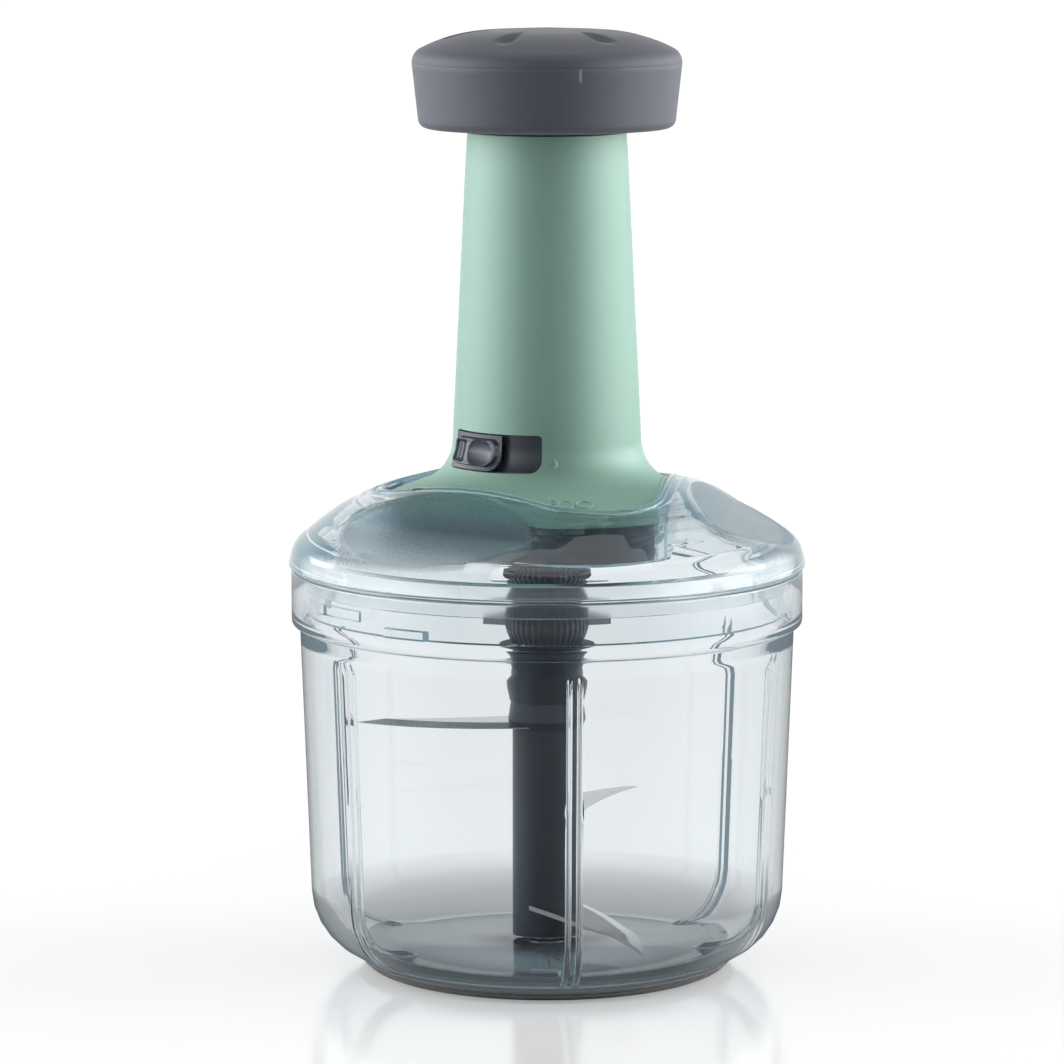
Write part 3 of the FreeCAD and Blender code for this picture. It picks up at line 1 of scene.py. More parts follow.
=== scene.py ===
import json
import math
import bmesh
import bpy
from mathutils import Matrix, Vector


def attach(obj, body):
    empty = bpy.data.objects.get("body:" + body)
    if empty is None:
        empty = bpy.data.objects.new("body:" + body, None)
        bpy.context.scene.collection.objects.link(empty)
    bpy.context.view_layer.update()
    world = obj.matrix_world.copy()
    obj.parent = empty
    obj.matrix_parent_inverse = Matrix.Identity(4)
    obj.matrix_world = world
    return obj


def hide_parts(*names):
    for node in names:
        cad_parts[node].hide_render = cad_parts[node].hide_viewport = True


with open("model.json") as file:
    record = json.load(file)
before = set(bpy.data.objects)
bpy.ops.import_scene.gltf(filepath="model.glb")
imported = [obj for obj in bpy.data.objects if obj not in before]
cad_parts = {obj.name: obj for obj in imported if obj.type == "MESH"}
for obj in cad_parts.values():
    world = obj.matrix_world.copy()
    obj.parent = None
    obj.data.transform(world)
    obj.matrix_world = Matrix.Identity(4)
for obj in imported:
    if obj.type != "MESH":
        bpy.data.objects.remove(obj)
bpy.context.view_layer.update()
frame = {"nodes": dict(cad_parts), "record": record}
print("CAD frame loaded,", len(frame["nodes"]), "nodes")


# camera, a long lens

cameraLook = {
    "azimuth": 36.0,        # degrees round the object, 0 looks along +Y
    "elevation": 8.09,      # degrees above the level
    "distance": 1.28,
    "aimHeight": 0.1116,
    "lens": 169.8,
    "sensor": 36.0,
    "shiftX": -0.0141,      # the object stands a little right of the middle
    "clipStart": 0.05, "clipEnd": 50.0,
}


def around(azimuth, distance, height):
    # a place round the object, counted as the camera's azimuth is
    turn = math.radians(azimuth)
    return Vector((math.sin(turn) * distance, -math.cos(turn) * distance, height))


def inScene(name, data):
    made = bpy.data.objects.new(name, data)
    bpy.context.scene.collection.objects.link(made)
    return made


def aimed(name, data, place, way):
    # a camera or lamp at a place, facing a way
    made = inScene(name, data)
    made.location = place
    made.rotation_mode = "QUATERNION"
    made.rotation_quaternion = way.to_track_quat("-Z", "Y")
    return made


def addCamera(look):
    up = math.radians(look["elevation"])
    back = around(look["azimuth"], math.cos(up), math.sin(up))
    data = bpy.data.cameras.new("camera")
    data.lens = look["lens"]
    data.sensor_width = look["sensor"]
    data.shift_x = look["shiftX"]
    data.clip_start, data.clip_end = look["clipStart"], look["clipEnd"]
    place = Vector((0, 0, look["aimHeight"])) + back * look["distance"]
    bpy.context.scene.camera = aimed("camera", data, place, -back)


addCamera(cameraLook)
print("camera set")


# shaping tools

sameSpot = 1e-7         # points closer than this are one


def roundedLine(corners, arcSteps=7):
    # corners are (radius, height[, rounding[, spacing]]); spacing divides the straight run after a corner.
    # Gives (radius, height, corner number) points.
    points = []
    tips = [Vector((corner[0], corner[1])) for corner in corners]
    runs = []
    for i, corner in enumerate(corners):
        rounding = corner[2] if len(corner) > 2 else 0
        if not rounding or i in (0, len(corners) - 1) and tips[0].x == 0 == tips[-1].x:
            runs.append([tips[i]])
            continue
        toLast = (tips[i - 1] - tips[i]).normalized()
        toNext = (tips[(i + 1) % len(tips)] - tips[i]).normalized()
        half = toLast.angle(toNext) / 2
        centre = tips[i] + (toLast + toNext).normalized() * (rounding / math.sin(half))
        start = tips[i] + toLast * (rounding / math.tan(half))
        end = tips[i] + toNext * (rounding / math.tan(half))
        sweep = (start - centre).angle_signed(end - centre)
        steps = max(2, round(arcSteps * abs(sweep) / (math.pi / 2)))
        arc = []
        for step in range(steps + 1):
            turn = math.atan2((start - centre).y, (start - centre).x) - sweep * step / steps
            arc.append(centre + Vector((math.cos(turn), math.sin(turn))) * rounding)
        runs.append(arc)
    for i, run in enumerate(runs):
        points += [(p.x, p.y, i) for p in run]
        spacing = corners[i][3] if len(corners[i]) > 3 else 0
        if spacing:
            start, end = run[-1], runs[(i + 1) % len(runs)][0]
            parts = max(1, round((end - start).length / spacing))
            for part in range(1, parts):
                between = start.lerp(end, part / parts)
                points.append((between.x, between.y, i))
    return points


def heightOn(line, radius):
    # height of a line of points at a radius; the line's radius only falls or only rises
    points = sorted((p[0], p[1]) for p in line)
    if radius <= points[0][0]:
        return points[0][1]
    for (r0, z0), (r1, z1) in zip(points, points[1:]):
        if radius <= r1:
            return z0 + (z1 - z0) * (radius - r0) / max(r1 - r0, 1e-9)
    return points[-1][1]


def smoothStep(low, high, value):
    t = min(1.0, max(0.0, (value - low) / (high - low)))
    return t * t * (3 - 2 * t)


def softMin(a, b, width):
    near = max(width - abs(a - b), 0) / width
    return min(a, b) - near * near * width / 4


def angleFrom(angle, middle, count=1):
    # degrees from the nearest of some evenly spread middles, -180 to 180
    return min(((angle - middle - 360 / count * i + 180) % 360 - 180 for i in range(count)), key=abs)


def rounded(centreX, centreY, size, turn):
    return centreX + size * math.cos(turn), centreY + size * math.sin(turn)


def atRadius(verts, radius):
    # moves points level towards or away from the axis
    for vert in verts:
        flat = Vector((vert.co.x, vert.co.y, 0)).normalized() * radius
        vert.co = (flat.x, flat.y, vert.co.z)


def pointsOf(items):
    return [item for item in items if isinstance(item, bmesh.types.BMVert)]


def objectFrom(name, bm):
    mesh = bpy.data.meshes.new(name)
    bm.to_mesh(mesh)
    bm.free()
    return inScene(name, mesh)


slotted = []


def newPiece(name, bm, body, slotName, sharp=32):
    bmesh.ops.remove_doubles(bm, verts=bm.verts[:], dist=sameSpot)
    bmesh.ops.recalc_face_normals(bm, faces=bm.faces[:])
    piece = objectFrom(name, bm)
    piece.data.polygons.foreach_set("use_smooth", [True] * len(piece.data.polygons))
    piece.data.set_sharp_from_angle(angle=math.radians(sharp))
    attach(piece, body)
    slotted.append((piece, slotName))
    return piece


def evenSteps(steps):
    return [360 * step / steps for step in range(steps)]


def turnedMesh(sectionAt, angles, closed=True, mask=None):
    # Spins one section all round, then gives each step its own angle and section.
    # mask(angle, row, radius, height) fills a vertex attribute for the material.
    sections = [sectionAt(angle) for angle in angles]
    steps = len(angles)
    bm = bmesh.new()
    rowLayer = bm.verts.layers.int.new("row")
    maskLayer = bm.verts.layers.float.new("mask") if mask else None
    ring = []
    for row, (radius, height) in enumerate(sections[0]):
        vert = bm.verts.new((radius, 0, height))
        vert[rowLayer] = row
        ring.append(vert)
    pairs = list(zip(ring, ring[1:] + (ring[:1] if closed else [])))
    edges = [bm.edges.new(pair) for pair in pairs]
    bmesh.ops.spin(bm, geom=ring + edges, cent=(0, 0, 0), axis=(0, 0, 1), angle=2 * math.pi,
                   steps=steps, use_merge=True)
    for vert in bm.verts:
        step = round(math.degrees(math.atan2(vert.co.y, vert.co.x)) / 360 * steps) % steps
        row = vert[rowLayer]
        radius, height = sections[step][row]
        turn = math.radians(angles[step])
        vert.co = (radius * math.cos(turn), radius * math.sin(turn), height)
        if mask:
            vert[maskLayer] = mask(angles[step], row, radius, height)
    return bm


# the lobed outline that the lid's socket and the housing's flare share

lobes = {"mean": 0.0362, "swell": 0.0055, "count": 3, "flatTurn": -90.0}


def lobeArcs():
    # half a sector: a flat's arc and a lobe's arc meet as a biarc; gives centres, radii and their meeting point
    flat = Vector((lobes["mean"] - lobes["swell"], 0))
    spread = math.pi / lobes["count"]
    ahead = Vector((math.cos(spread), math.sin(spread)))
    lobe = ahead * (lobes["mean"] + lobes["swell"])
    start, finish = Vector((0, 1)), Vector((-ahead.y, ahead.x))
    chord, both = lobe - flat, start + finish
    turn = 2 * (1 - start.dot(finish))
    reach = (math.sqrt(chord.dot(both) ** 2 + turn * chord.dot(chord)) - chord.dot(both)) / turn
    meet = (flat + start * reach + lobe - finish * reach) / 2
    lobeGap, flatGap = lobe - meet, flat - meet
    lobeRadius = lobeGap.dot(lobeGap) / (2 * lobeGap.dot(ahead))
    flatRadius = flatGap.dot(flatGap) / (2 * flatGap.x)
    return flat - Vector((flatRadius, 0)), flatRadius, lobe - ahead * lobeRadius, lobeRadius, meet


flatCentre, flatRadius, lobeCentre, lobeRadius, arcMeet = lobeArcs()


def lobeReach(angle, grow=0.0):
    # distance from the axis to the lobed outline, grown by a distance
    sector = 360 / lobes["count"]
    off = math.radians(abs((angle - lobes["flatTurn"] + sector / 2) % sector - sector / 2))
    way = Vector((math.cos(off), math.sin(off)))
    meet = arcMeet + (arcMeet - lobeCentre).normalized() * grow
    if off > math.atan2(meet.y, meet.x):
        centre, radius = lobeCentre, lobeRadius + grow
    else:
        centre, radius = flatCentre, flatRadius + grow
    along = centre.dot(way)
    return along + math.sqrt(along * along - centre.dot(centre) + radius * radius)


# bowl

bowlShape = {
    "wallRadius": 0.0631, "baseRadius": 0.0599, "wall": 0.0023, "floor": 0.0026, "underside": 0.003,
    "corner": 0.017, "collarRadius": 0.0652, "collarWall": 0.0023, "collarBottom": 0.0886,
    "collarTop": 0.1029, "collarEdge": 0.0013, "foldCurve": 0.0006, "rimOutside": 0.0007, "rimInside": 0.0003,
    "bossRadius": 0.0062, "bossTop": 0.0116, "bossFoot": 0.0008, "bossEdge": 0.0005,
    "pinRadius": 0.003, "pinFoot": 0.0042, "pinEdge": 0.0003,
    "ledgeAbove": 0.004, "ledgeBelow": 0.003, "ledgeCurve": 0.006, "ledgeSpacing": 0.001, "wallSpacing": 0.0016,
    "ribTurn": -47.6, "ribCount": 6, "ribTop": 0.0826, "ribRise": 0.0015, "ribEnd": 0.0024, "ribSector": 5,
    "ribFoot": 0.044, "ribFootFade": 0.002, "lipMiddle": 0.00135, "lipHalf": 0.00068, "lipGroove": 0.22,
    "lugTurn": -108.0, "lugCount": 2, "lugWidth": 14.0, "lugBottom": 0.0955, "lugHeight": 0.0022,
    "lugReach": 0.0017, "lugNick": 0.00015,
    "steps": 432, "closeWidth": 6.4,        # half of the steps stand close together, this many degrees on each rib
}


def makeBowl():
    b = bowlShape
    bore = b["collarRadius"] - b["collarWall"]
    ledge = b["collarBottom"] - b["collarWall"] / 2
    wallBore = b["wallRadius"] - b["wall"]
    lugTop = b["lugBottom"] + b["lugHeight"]
    line = roundedLine([
        (b["pinRadius"], b["pinFoot"]),
        (0, b["pinFoot"]),
        (0, b["underside"]),
        (b["baseRadius"], b["underside"], b["corner"]),
        (b["wallRadius"], b["collarBottom"], b["foldCurve"]),
        (b["collarRadius"], b["collarBottom"], b["collarEdge"]),
        (b["collarRadius"], b["collarTop"], b["rimOutside"]),
        (bore, b["collarTop"], b["rimInside"]),
        (bore, lugTop + b["lugNick"]), (bore, lugTop), (bore, b["lugBottom"]), (bore, b["lugBottom"] - b["lugNick"]),
        (bore, ledge + b["ledgeAbove"], b["ledgeCurve"], b["ledgeSpacing"]),
        (wallBore, ledge - b["ledgeBelow"], b["ledgeCurve"], b["wallSpacing"]),
        (b["baseRadius"] - b["wall"], b["floor"] + b["underside"], b["corner"] - b["wall"], b["wallSpacing"]),
        (b["bossRadius"], b["floor"] + b["underside"], b["bossFoot"]),
        (b["bossRadius"], b["bossTop"], b["bossEdge"]),
        (b["pinRadius"], b["bossTop"], b["pinEdge"])])
    wallCorners = (12, 13, 14)
    lugCorners = (9, 10)

    def lip(across):
        # a double rib across its width: two round lips with a low groove between them
        off = (abs(across) - b["lipMiddle"]) / b["lipHalf"]
        groove = b["lipGroove"] if abs(across) < b["lipMiddle"] else 0
        return max(math.sqrt(max(1 - off * off, 0)), groove)

    def section(angle):
        ribOff = angleFrom(angle, b["ribTurn"], b["ribCount"])
        lugOff = abs(angleFrom(angle, b["lugTurn"], b["lugCount"]))
        rows = []
        for i, (radius, height, corner) in enumerate(line):
            if corner in wallCorners and abs(ribOff) < b["ribSector"] and height < b["ribTop"]:
                before, after = line[i - 1], line[(i + 1) % len(line)]
                run = Vector((after[0] - before[0], after[1] - before[1])).normalized()
                end = min(1, (b["ribTop"] - height) / b["ribEnd"])
                fade = math.sqrt(1 - (1 - end) ** 2)
                fade *= smoothStep(b["ribFoot"] - b["ribFootFade"], b["ribFoot"], radius)
                rise = b["ribRise"] * lip(math.radians(ribOff) * radius) * fade
                rows.append((radius + run.y * rise, height - run.x * rise))
            elif corner in lugCorners and lugOff < b["lugWidth"] / 2:
                rows.append((radius - b["lugReach"], height))
            else:
                rows.append((radius, height))
        return rows

    perRib = b["steps"] // b["ribCount"]
    close, closeWidth = perRib // 2, b["closeWidth"]
    rest = perRib - close
    angles = []
    for rib in range(b["ribCount"]):
        middle = b["ribTurn"] + 360 / b["ribCount"] * rib
        angles += [middle - closeWidth / 2 + closeWidth * i / close for i in range(close)]
        angles += [middle + closeWidth / 2 + (360 / b["ribCount"] - closeWidth) * i / rest for i in range(rest)]
    bowl = newPiece("bowl_clear", turnedMesh(section, angles), "bowl", "clear_bowl", 30)
    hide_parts("bowl")
    return bowl


bowl = makeBowl()
print("bowl made,", len(bowl.data.polygons), "faces")


# foot pad

padShape = {"radius": 0.0484, "foot": 0.0462, "footHeight": 0.0006, "tread": 0.0448, "rest": 0.003, "waist": 0.0019,
            "inner": 0.0385, "slope": 0.0008, "hollow": 0.0011, "curve": 0.0007, "edge": 0.0004,
            "topEdge": 0.0003, "groove": 0.0002, "grooveBack": 0.0001, "steps": 240}


def makePad():
    # tapered rubber ring with a fine groove round its side
    s = padShape
    waistRadius = (s["radius"] + s["foot"]) / 2
    line = roundedLine([
        (0, s["rest"]), (s["radius"] - s["topEdge"], s["rest"]),
        (s["radius"], s["rest"] - s["groove"], s["groove"]),
        (waistRadius + s["groove"], s["waist"] + s["groove"]), (waistRadius - s["groove"], s["waist"]),
        (waistRadius + s["grooveBack"], s["waist"] - s["groove"]),
        (s["foot"], s["footHeight"], s["curve"]), (s["tread"], 0, s["edge"]), (s["inner"], 0, s["edge"]),
        (s["inner"] - s["slope"], s["hollow"], s["edge"]), (0, s["hollow"])], 6)
    rows = [(radius, height) for radius, height, corner in line]
    pad = newPiece("foot_pad", turnedMesh(lambda angle: rows, evenSteps(s["steps"])), "bowl", "pad_rubber", 35)
    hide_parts("base_pad")


makePad()
print("pad made")


# lid

lidShape = {
    "rimRadius": 0.066, "rimBottom": 0.1036, "wall": 0.0022, "rimInside": 0.1071,
    "rimFoot": 0.0008, "rimCurve": 0.0005, "rimReach": 0.062, "rimBand": 0.001,
    "edgeRadius": 0.0646, "edgeHeight": 0.1094, "edgeCurve": 0.007,
    "kneeRadius": 0.051, "kneeHeight": 0.1203, "kneeCurve": 0.045,
    "topRadius": 0.020, "topHeight": 0.1301,
    "skirtOuter": 0.0609, "skirtBore": 0.0589, "skirtBottom": 0.092, "skirtTopCurve": 0.002,
    "skirtEdge": 0.0002, "skirtFlat": 0.0006, "skirtInside": 0.0004, "skirtGap": 0.001, "underGap": 0.0008,
    "creaseRadius": 0.0463, "creaseHeight": 0.117, "creaseBlend": 0.0006, "upperSlope": 0.8163, "lowerSlope": 0.3963,
    "scoopBlend": 0.0011, "scoopWall": 0.0027,
    # lowerShade: how much of the painted shade in the frost tint the scoops' lower faces lose against the upper ones
    "lowerShade": 0.65, "frostBelow": 0.004, "frostEdge": 0.0006, "frostShallow": 0.00004, "frostDeep": 0.00025,
    "floorTop": 0.105, "floorBottom": 0.103, "floorCurve": 0.0008, "floorEdge": 0.0004, "hole": 0.012,
    "bead": 0.0011, "beadSteps": 8, "beadSink": 0.75, "beadFoot": 0.95, "beadGap": 0.0003,     # sinks are bead shares
    "domeGap": 0.0006, "domeSink": 0.7, "domeSinkRows": 4, "domeRows": 62, "underRows": 30,
    "lugTurn": -88.0, "lugCount": 2, "lugWidth": 12.0, "lugBottom": 0.0924, "lugHeight": 0.0022,
    "lugReach": 0.0017, "lugNick": 0.00015, "steps": 540,
}


def makeLid():
    d = lidShape
    outside = roundedLine([
        (d["rimRadius"] - d["rimFoot"], d["rimBottom"]),
        (d["rimRadius"], d["rimBottom"], d["rimCurve"]),
        (d["edgeRadius"], d["edgeHeight"], d["edgeCurve"]),
        (d["kneeRadius"], d["kneeHeight"], d["kneeCurve"]),
        (d["topRadius"], d["topHeight"])], 12)
    underside = roundedLine([
        (d["skirtBore"], d["skirtBottom"]),
        (d["skirtBore"], d["edgeHeight"], d["skirtTopCurve"]),
        (d["kneeRadius"] - d["wall"] / 3, d["kneeHeight"] - d["wall"], d["kneeCurve"] / 2),
        (d["topRadius"], d["topHeight"] - d["wall"])], 10)[1:]
    rimPart = [p for p in outside if p[0] > d["rimReach"] or p[1] < d["rimBottom"] + d["rimBand"]]
    joinRadius = min(p[0] for p in rimPart if p[1] > d["edgeHeight"])
    domePart = [p for p in outside if p[1] > d["edgeHeight"]]
    lugTop = d["lugBottom"] + d["lugHeight"]
    notchTurns = [math.radians(lobes["flatTurn"] + 360 / lobes["count"] * i) for i in range(lobes["count"])]

    def notchOut(radius, angle):
        # how far out a point lies towards the nearest of the three V notches
        return max(radius * math.cos(math.radians(angle) - turn) for turn in notchTurns)

    def notchHeight(radius, angle, drop=0.0):
        out = notchOut(radius, angle)
        upper = d["creaseHeight"] + (d["creaseRadius"] - out) * d["upperSlope"]
        lower = d["creaseHeight"] - (out - d["creaseRadius"]) * d["lowerSlope"]
        upper -= drop * math.hypot(1, d["upperSlope"])
        lower -= drop * math.hypot(1, d["lowerSlope"])
        return -softMin(-upper, -lower, d["creaseBlend"])

    def topHeight(radius, angle):
        return softMin(heightOn(domePart, radius), notchHeight(radius, angle), d["scoopBlend"])

    def underHeight(radius, angle):
        return softMin(heightOn(underside, radius), notchHeight(radius, angle, d["scoopWall"]), d["scoopBlend"])

    def section(angle):
        inner = lobeReach(angle)
        outer = lobeReach(angle, d["wall"])
        bead = d["bead"]
        crown = topHeight(outer, angle)
        rows = [(inner, d["floorTop"] + d["floorCurve"])]
        rows += [(inner, d["floorTop"] + (crown - bead - d["floorTop"]) * i / 4) for i in range(1, 4)]
        rows += [rounded(inner + bead, crown - bead * d["beadSink"], bead, math.pi * (1 - i / d["beadSteps"]))
                 for i in range(d["beadSteps"] + 1)]
        rows.append((outer + d["beadGap"], crown - bead * d["beadFoot"]))
        for i in range(1, d["domeRows"] + 1):
            radius = outer + d["domeGap"] + (joinRadius - outer - d["domeGap"]) * (i - 1) / d["domeRows"]
            sink = bead * d["domeSink"] * (1 - smoothStep(0, d["domeSinkRows"], i))
            rows.append((radius, topHeight(radius, angle) - sink))
        for radius, height, corner in rimPart[::-1]:
            rows.append((radius, min(height, topHeight(radius, angle)) if height > d["edgeHeight"] else height))
        rows += [(d["rimRadius"] - d["wall"], d["rimBottom"]), (d["rimRadius"] - d["wall"], d["rimInside"]),
                 (d["skirtOuter"], d["rimInside"])]
        lug = abs(angleFrom(angle, d["lugTurn"], d["lugCount"])) < d["lugWidth"] / 2
        reach = d["lugReach"] if lug else 0
        rows += [(d["skirtOuter"], lugTop + d["lugNick"]), (d["skirtOuter"] + reach, lugTop),
                 (d["skirtOuter"] + reach, d["lugBottom"]), (d["skirtOuter"], d["lugBottom"] - d["lugNick"]),
                 (d["skirtOuter"], d["skirtBottom"] + d["skirtEdge"]),
                 (d["skirtOuter"] - d["skirtFlat"], d["skirtBottom"]),
                 (d["skirtBore"] + d["skirtInside"], d["skirtBottom"]),
                 (d["skirtBore"], d["skirtBottom"] + d["skirtInside"])]
        foot = min(underHeight(d["skirtBore"], angle), d["edgeHeight"]) - d["skirtGap"]
        rows += [(d["skirtBore"], d["skirtBottom"] + (foot - d["skirtBottom"]) * i / 3) for i in (1, 2, 3)]
        for i in range(d["underRows"] + 1):
            radius = d["skirtBore"] - d["underGap"] + (outer - d["skirtBore"] + d["underGap"]) * i / d["underRows"]
            rows.append((radius, underHeight(radius, angle)))
        under = rows[-1][1]
        rows += [(outer, under + (d["floorBottom"] - under) * i / 4) for i in (1, 2, 3)]
        rows += [(outer, d["floorBottom"] + d["floorEdge"]), (outer - d["floorEdge"], d["floorBottom"]),
                 (d["hole"], d["floorBottom"]), (d["hole"], d["floorTop"]),
                 (inner - d["floorCurve"], d["floorTop"])]
        return rows

    def frost(angle, row, radius, height):
        # 1 on the scoops' upper faces, less on the lower ones; the frost tint follows this mask, so the upper faces get
        # more painted shade than the lower ones
        if radius < lobeReach(angle, d["wall"]) or height < d["edgeHeight"] - d["frostBelow"]:
            return 0
        lower = smoothStep(-d["frostEdge"], d["frostEdge"], notchOut(radius, angle) - d["creaseRadius"])
        cut = heightOn(domePart, radius) - notchHeight(radius, angle)
        return smoothStep(d["frostShallow"], d["frostDeep"], cut) * (1 - d["lowerShade"] * lower)

    lid = newPiece("lid_clear", turnedMesh(section, evenSteps(d["steps"]), mask=frost), "lid", "clear_lid", 38)
    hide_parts("lid")
    return lid


lid = makeLid()
print("lid made,", len(lid.data.polygons), "faces")


# housing with its flare and switch slot

housingShape = {
    "tubeTop": 0.2138, "tubeTopRadius": 0.0202, "tubeFootRadius": 0.0239, "tubeFoot": 0.1378,
    "topEdge": 0.0003, "topFlat": 0.0006, "topBevel": 0.0001,
    "cornerRadius": 0.0242, "cornerHeight": 0.1276, "cornerCurve": 0.012,
    "edgeRadius": 0.038, "edgeHeight": 0.12245, "edgeCurve": 0.005, "outerRadius": 0.046,
    "outerHeight": 0.1191, "bottom": 0.117, "wall": 0.0022, "socketPlay": 0.0004, "rimCurve": 0.0011,
    "edgeUnder": 1.3, "flareUnder": 1.25, "neckUnder": 0.4,     # how deep the inside lies, in wall thicknesses
    "neckReach": 0.030, "joinGap": 0.0001, "neckRows": 30, "flareRows": 26, "tubeRows": 14, "rimRows": 4,
    "underRows": 8, "slotMiddle": -90.5, "slotWidth": 67.0, "slotBottom": 0.1296, "slotHeight": 0.0096,
    "slotInner": 0.0195, "slotOuter": 0.034, "slotCorner": 0.0011, "slotCornerLarge": 0.0035, "slotStrips": 32,
    "steps": 432,
}


def makeFlareLine():
    # outside of the flare up to the foot of the tube
    h = housingShape
    line = roundedLine([
        (h["outerRadius"], h["outerHeight"]),
        (h["edgeRadius"], h["edgeHeight"], h["edgeCurve"]),
        (h["cornerRadius"], h["cornerHeight"], h["cornerCurve"]),
        (h["tubeFootRadius"], h["tubeFoot"]),
        (h["tubeTopRadius"], h["tubeTop"])], h["neckRows"])
    return [p for p in line if p[1] < h["tubeFoot"] + h["joinGap"]]


flareLine = makeFlareLine()


def makeHousing():
    h = housingShape
    wall, curve = h["wall"], h["rimCurve"]
    flare = [p for p in flareLine if p[0] > h["tubeFootRadius"] - h["joinGap"]]
    neck = [p for p in flare if p[0] < h["neckReach"]][::-1]
    neckEnd = max(p[0] for p in neck)

    def section(angle):
        edge = lobeReach(angle, -h["socketPlay"])
        top, bore = h["tubeTop"], h["tubeTopRadius"] - wall
        rows = [(bore, top - h["topEdge"]), (bore + h["topEdge"], top),
                (h["tubeTopRadius"] - h["topFlat"], top), (h["tubeTopRadius"] - h["topBevel"], top - h["topEdge"])]
        for i in range(1, h["tubeRows"]):
            part = i / h["tubeRows"]
            rows.append((h["tubeTopRadius"] + (h["tubeFootRadius"] - h["tubeTopRadius"]) * part,
                         top + (h["tubeFoot"] - top) * part))
        rows += [(p[0], p[1]) for p in neck]
        for i in range(1, h["flareRows"] + 1):
            radius = neckEnd + (edge - curve - neckEnd) * i / h["flareRows"]
            rows.append((radius, heightOn(flare, radius)))
        rimTop = heightOn(flare, edge - curve) - curve
        rows += [rounded(edge - curve, rimTop, curve, math.pi / 2 * (1 - i / h["rimRows"]))
                 for i in range(1, h["rimRows"] + 1)]
        innerEdge = edge - wall
        rows += [(edge, h["bottom"]), (innerEdge, h["bottom"]),
                 (innerEdge, heightOn(flare, innerEdge) - wall * h["edgeUnder"])]
        for i in range(1, h["underRows"] + 1):
            radius = innerEdge + (neckEnd - wall - innerEdge) * i / h["underRows"]
            rows.append((radius, heightOn(flare, radius) - wall * h["flareUnder"]))
        rows += [(p[0] - wall, p[1] - wall * h["neckUnder"]) for p in neck[::-2]]
        return rows

    housing = newPiece("housing_green", turnedMesh(section, evenSteps(h["steps"])), "lid", "green_plastic", 40)
    cutter = slotCutter()
    cut = housing.modifiers.new("slot", "BOOLEAN")
    cut.object = cutter
    cut.operation = "DIFFERENCE"
    cut.solver = "EXACT"
    graph = bpy.context.evaluated_depsgraph_get()
    mesh = bpy.data.meshes.new_from_object(housing.evaluated_get(graph))
    housing.modifiers.clear()
    housing.data = mesh
    bpy.data.objects.remove(cutter)
    mesh.set_sharp_from_angle(angle=math.radians(40))
    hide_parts("housing")
    return housing


def slotCutter():
    # a flat rounded outline, cut in strips, bent round the tube and pushed outwards
    h = housingShape
    bend = h["cornerRadius"]
    half = math.radians(h["slotWidth"]) / 2 * bend
    top = h["slotBottom"] + h["slotHeight"]
    outline = roundedLine([
        (-half, h["slotBottom"], h["slotCorner"]), (half, h["slotBottom"], h["slotCornerLarge"]),
        (half, top, h["slotCorner"]), (-half, top, h["slotCorner"])], 10)
    bm = bmesh.new()
    bm.faces.new([bm.verts.new((along, 0, height)) for along, height, corner in outline])
    for cut in range(1, h["slotStrips"]):
        bmesh.ops.bisect_plane(bm, geom=bm.verts[:] + bm.edges[:] + bm.faces[:],
                               plane_co=(-half + 2 * half * cut / h["slotStrips"], 0, 0), plane_no=(1, 0, 0))
    outer = set(pointsOf(bmesh.ops.extrude_face_region(bm, geom=bm.faces[:], use_keep_orig=True)["geom"]))
    for vert in bm.verts:
        turn = math.radians(h["slotMiddle"]) + vert.co.x / bend
        radius = h["slotOuter"] if vert in outer else h["slotInner"]
        vert.co = (radius * math.cos(turn), radius * math.sin(turn), vert.co.z)
    bmesh.ops.recalc_face_normals(bm, faces=bm.faces[:])
    return objectFrom("slot_cutter", bm)


housing = makeHousing()
print("housing made,", len(housing.data.polygons), "faces")


# low ridges on the flare

markShape = {
    "width": 0.00036, "rise": 0.00030, "sides": 12, "probe": 0.0002,
    # degrees, radius, half length, half width, steps
    "rings": ((-39.2, 0.0357, 0.0021, 0.0017, 28), (-46.6, 0.0355, 0.0020, 0.0019, 28),
              (-51.6, 0.0343, 0.0009, 0.0009, 10)),
    # degrees at the start, for each step and for the bow, then the same for the radius
    "hooks": ((-125.0, 0.9, 0.0, 0.0352, 0.0, 0.0009), (-50.2, 0.0, 1.6, 0.02432, 0.00008, 0.0)),
    "hookSteps": 8,
}


def onFlare(angle, radius):
    # point and outward direction on the flare
    turn, probe = math.radians(angle), markShape["probe"]
    rise = heightOn(flareLine, radius + probe) - heightOn(flareLine, radius - probe)
    slope = Vector((-rise / (2 * probe), 1)).normalized()
    out = Vector((math.cos(turn), math.sin(turn), 0))
    point = out * radius + Vector((0, 0, heightOn(flareLine, radius)))
    return point, (out * slope.x + Vector((0, 0, slope.y))).normalized()


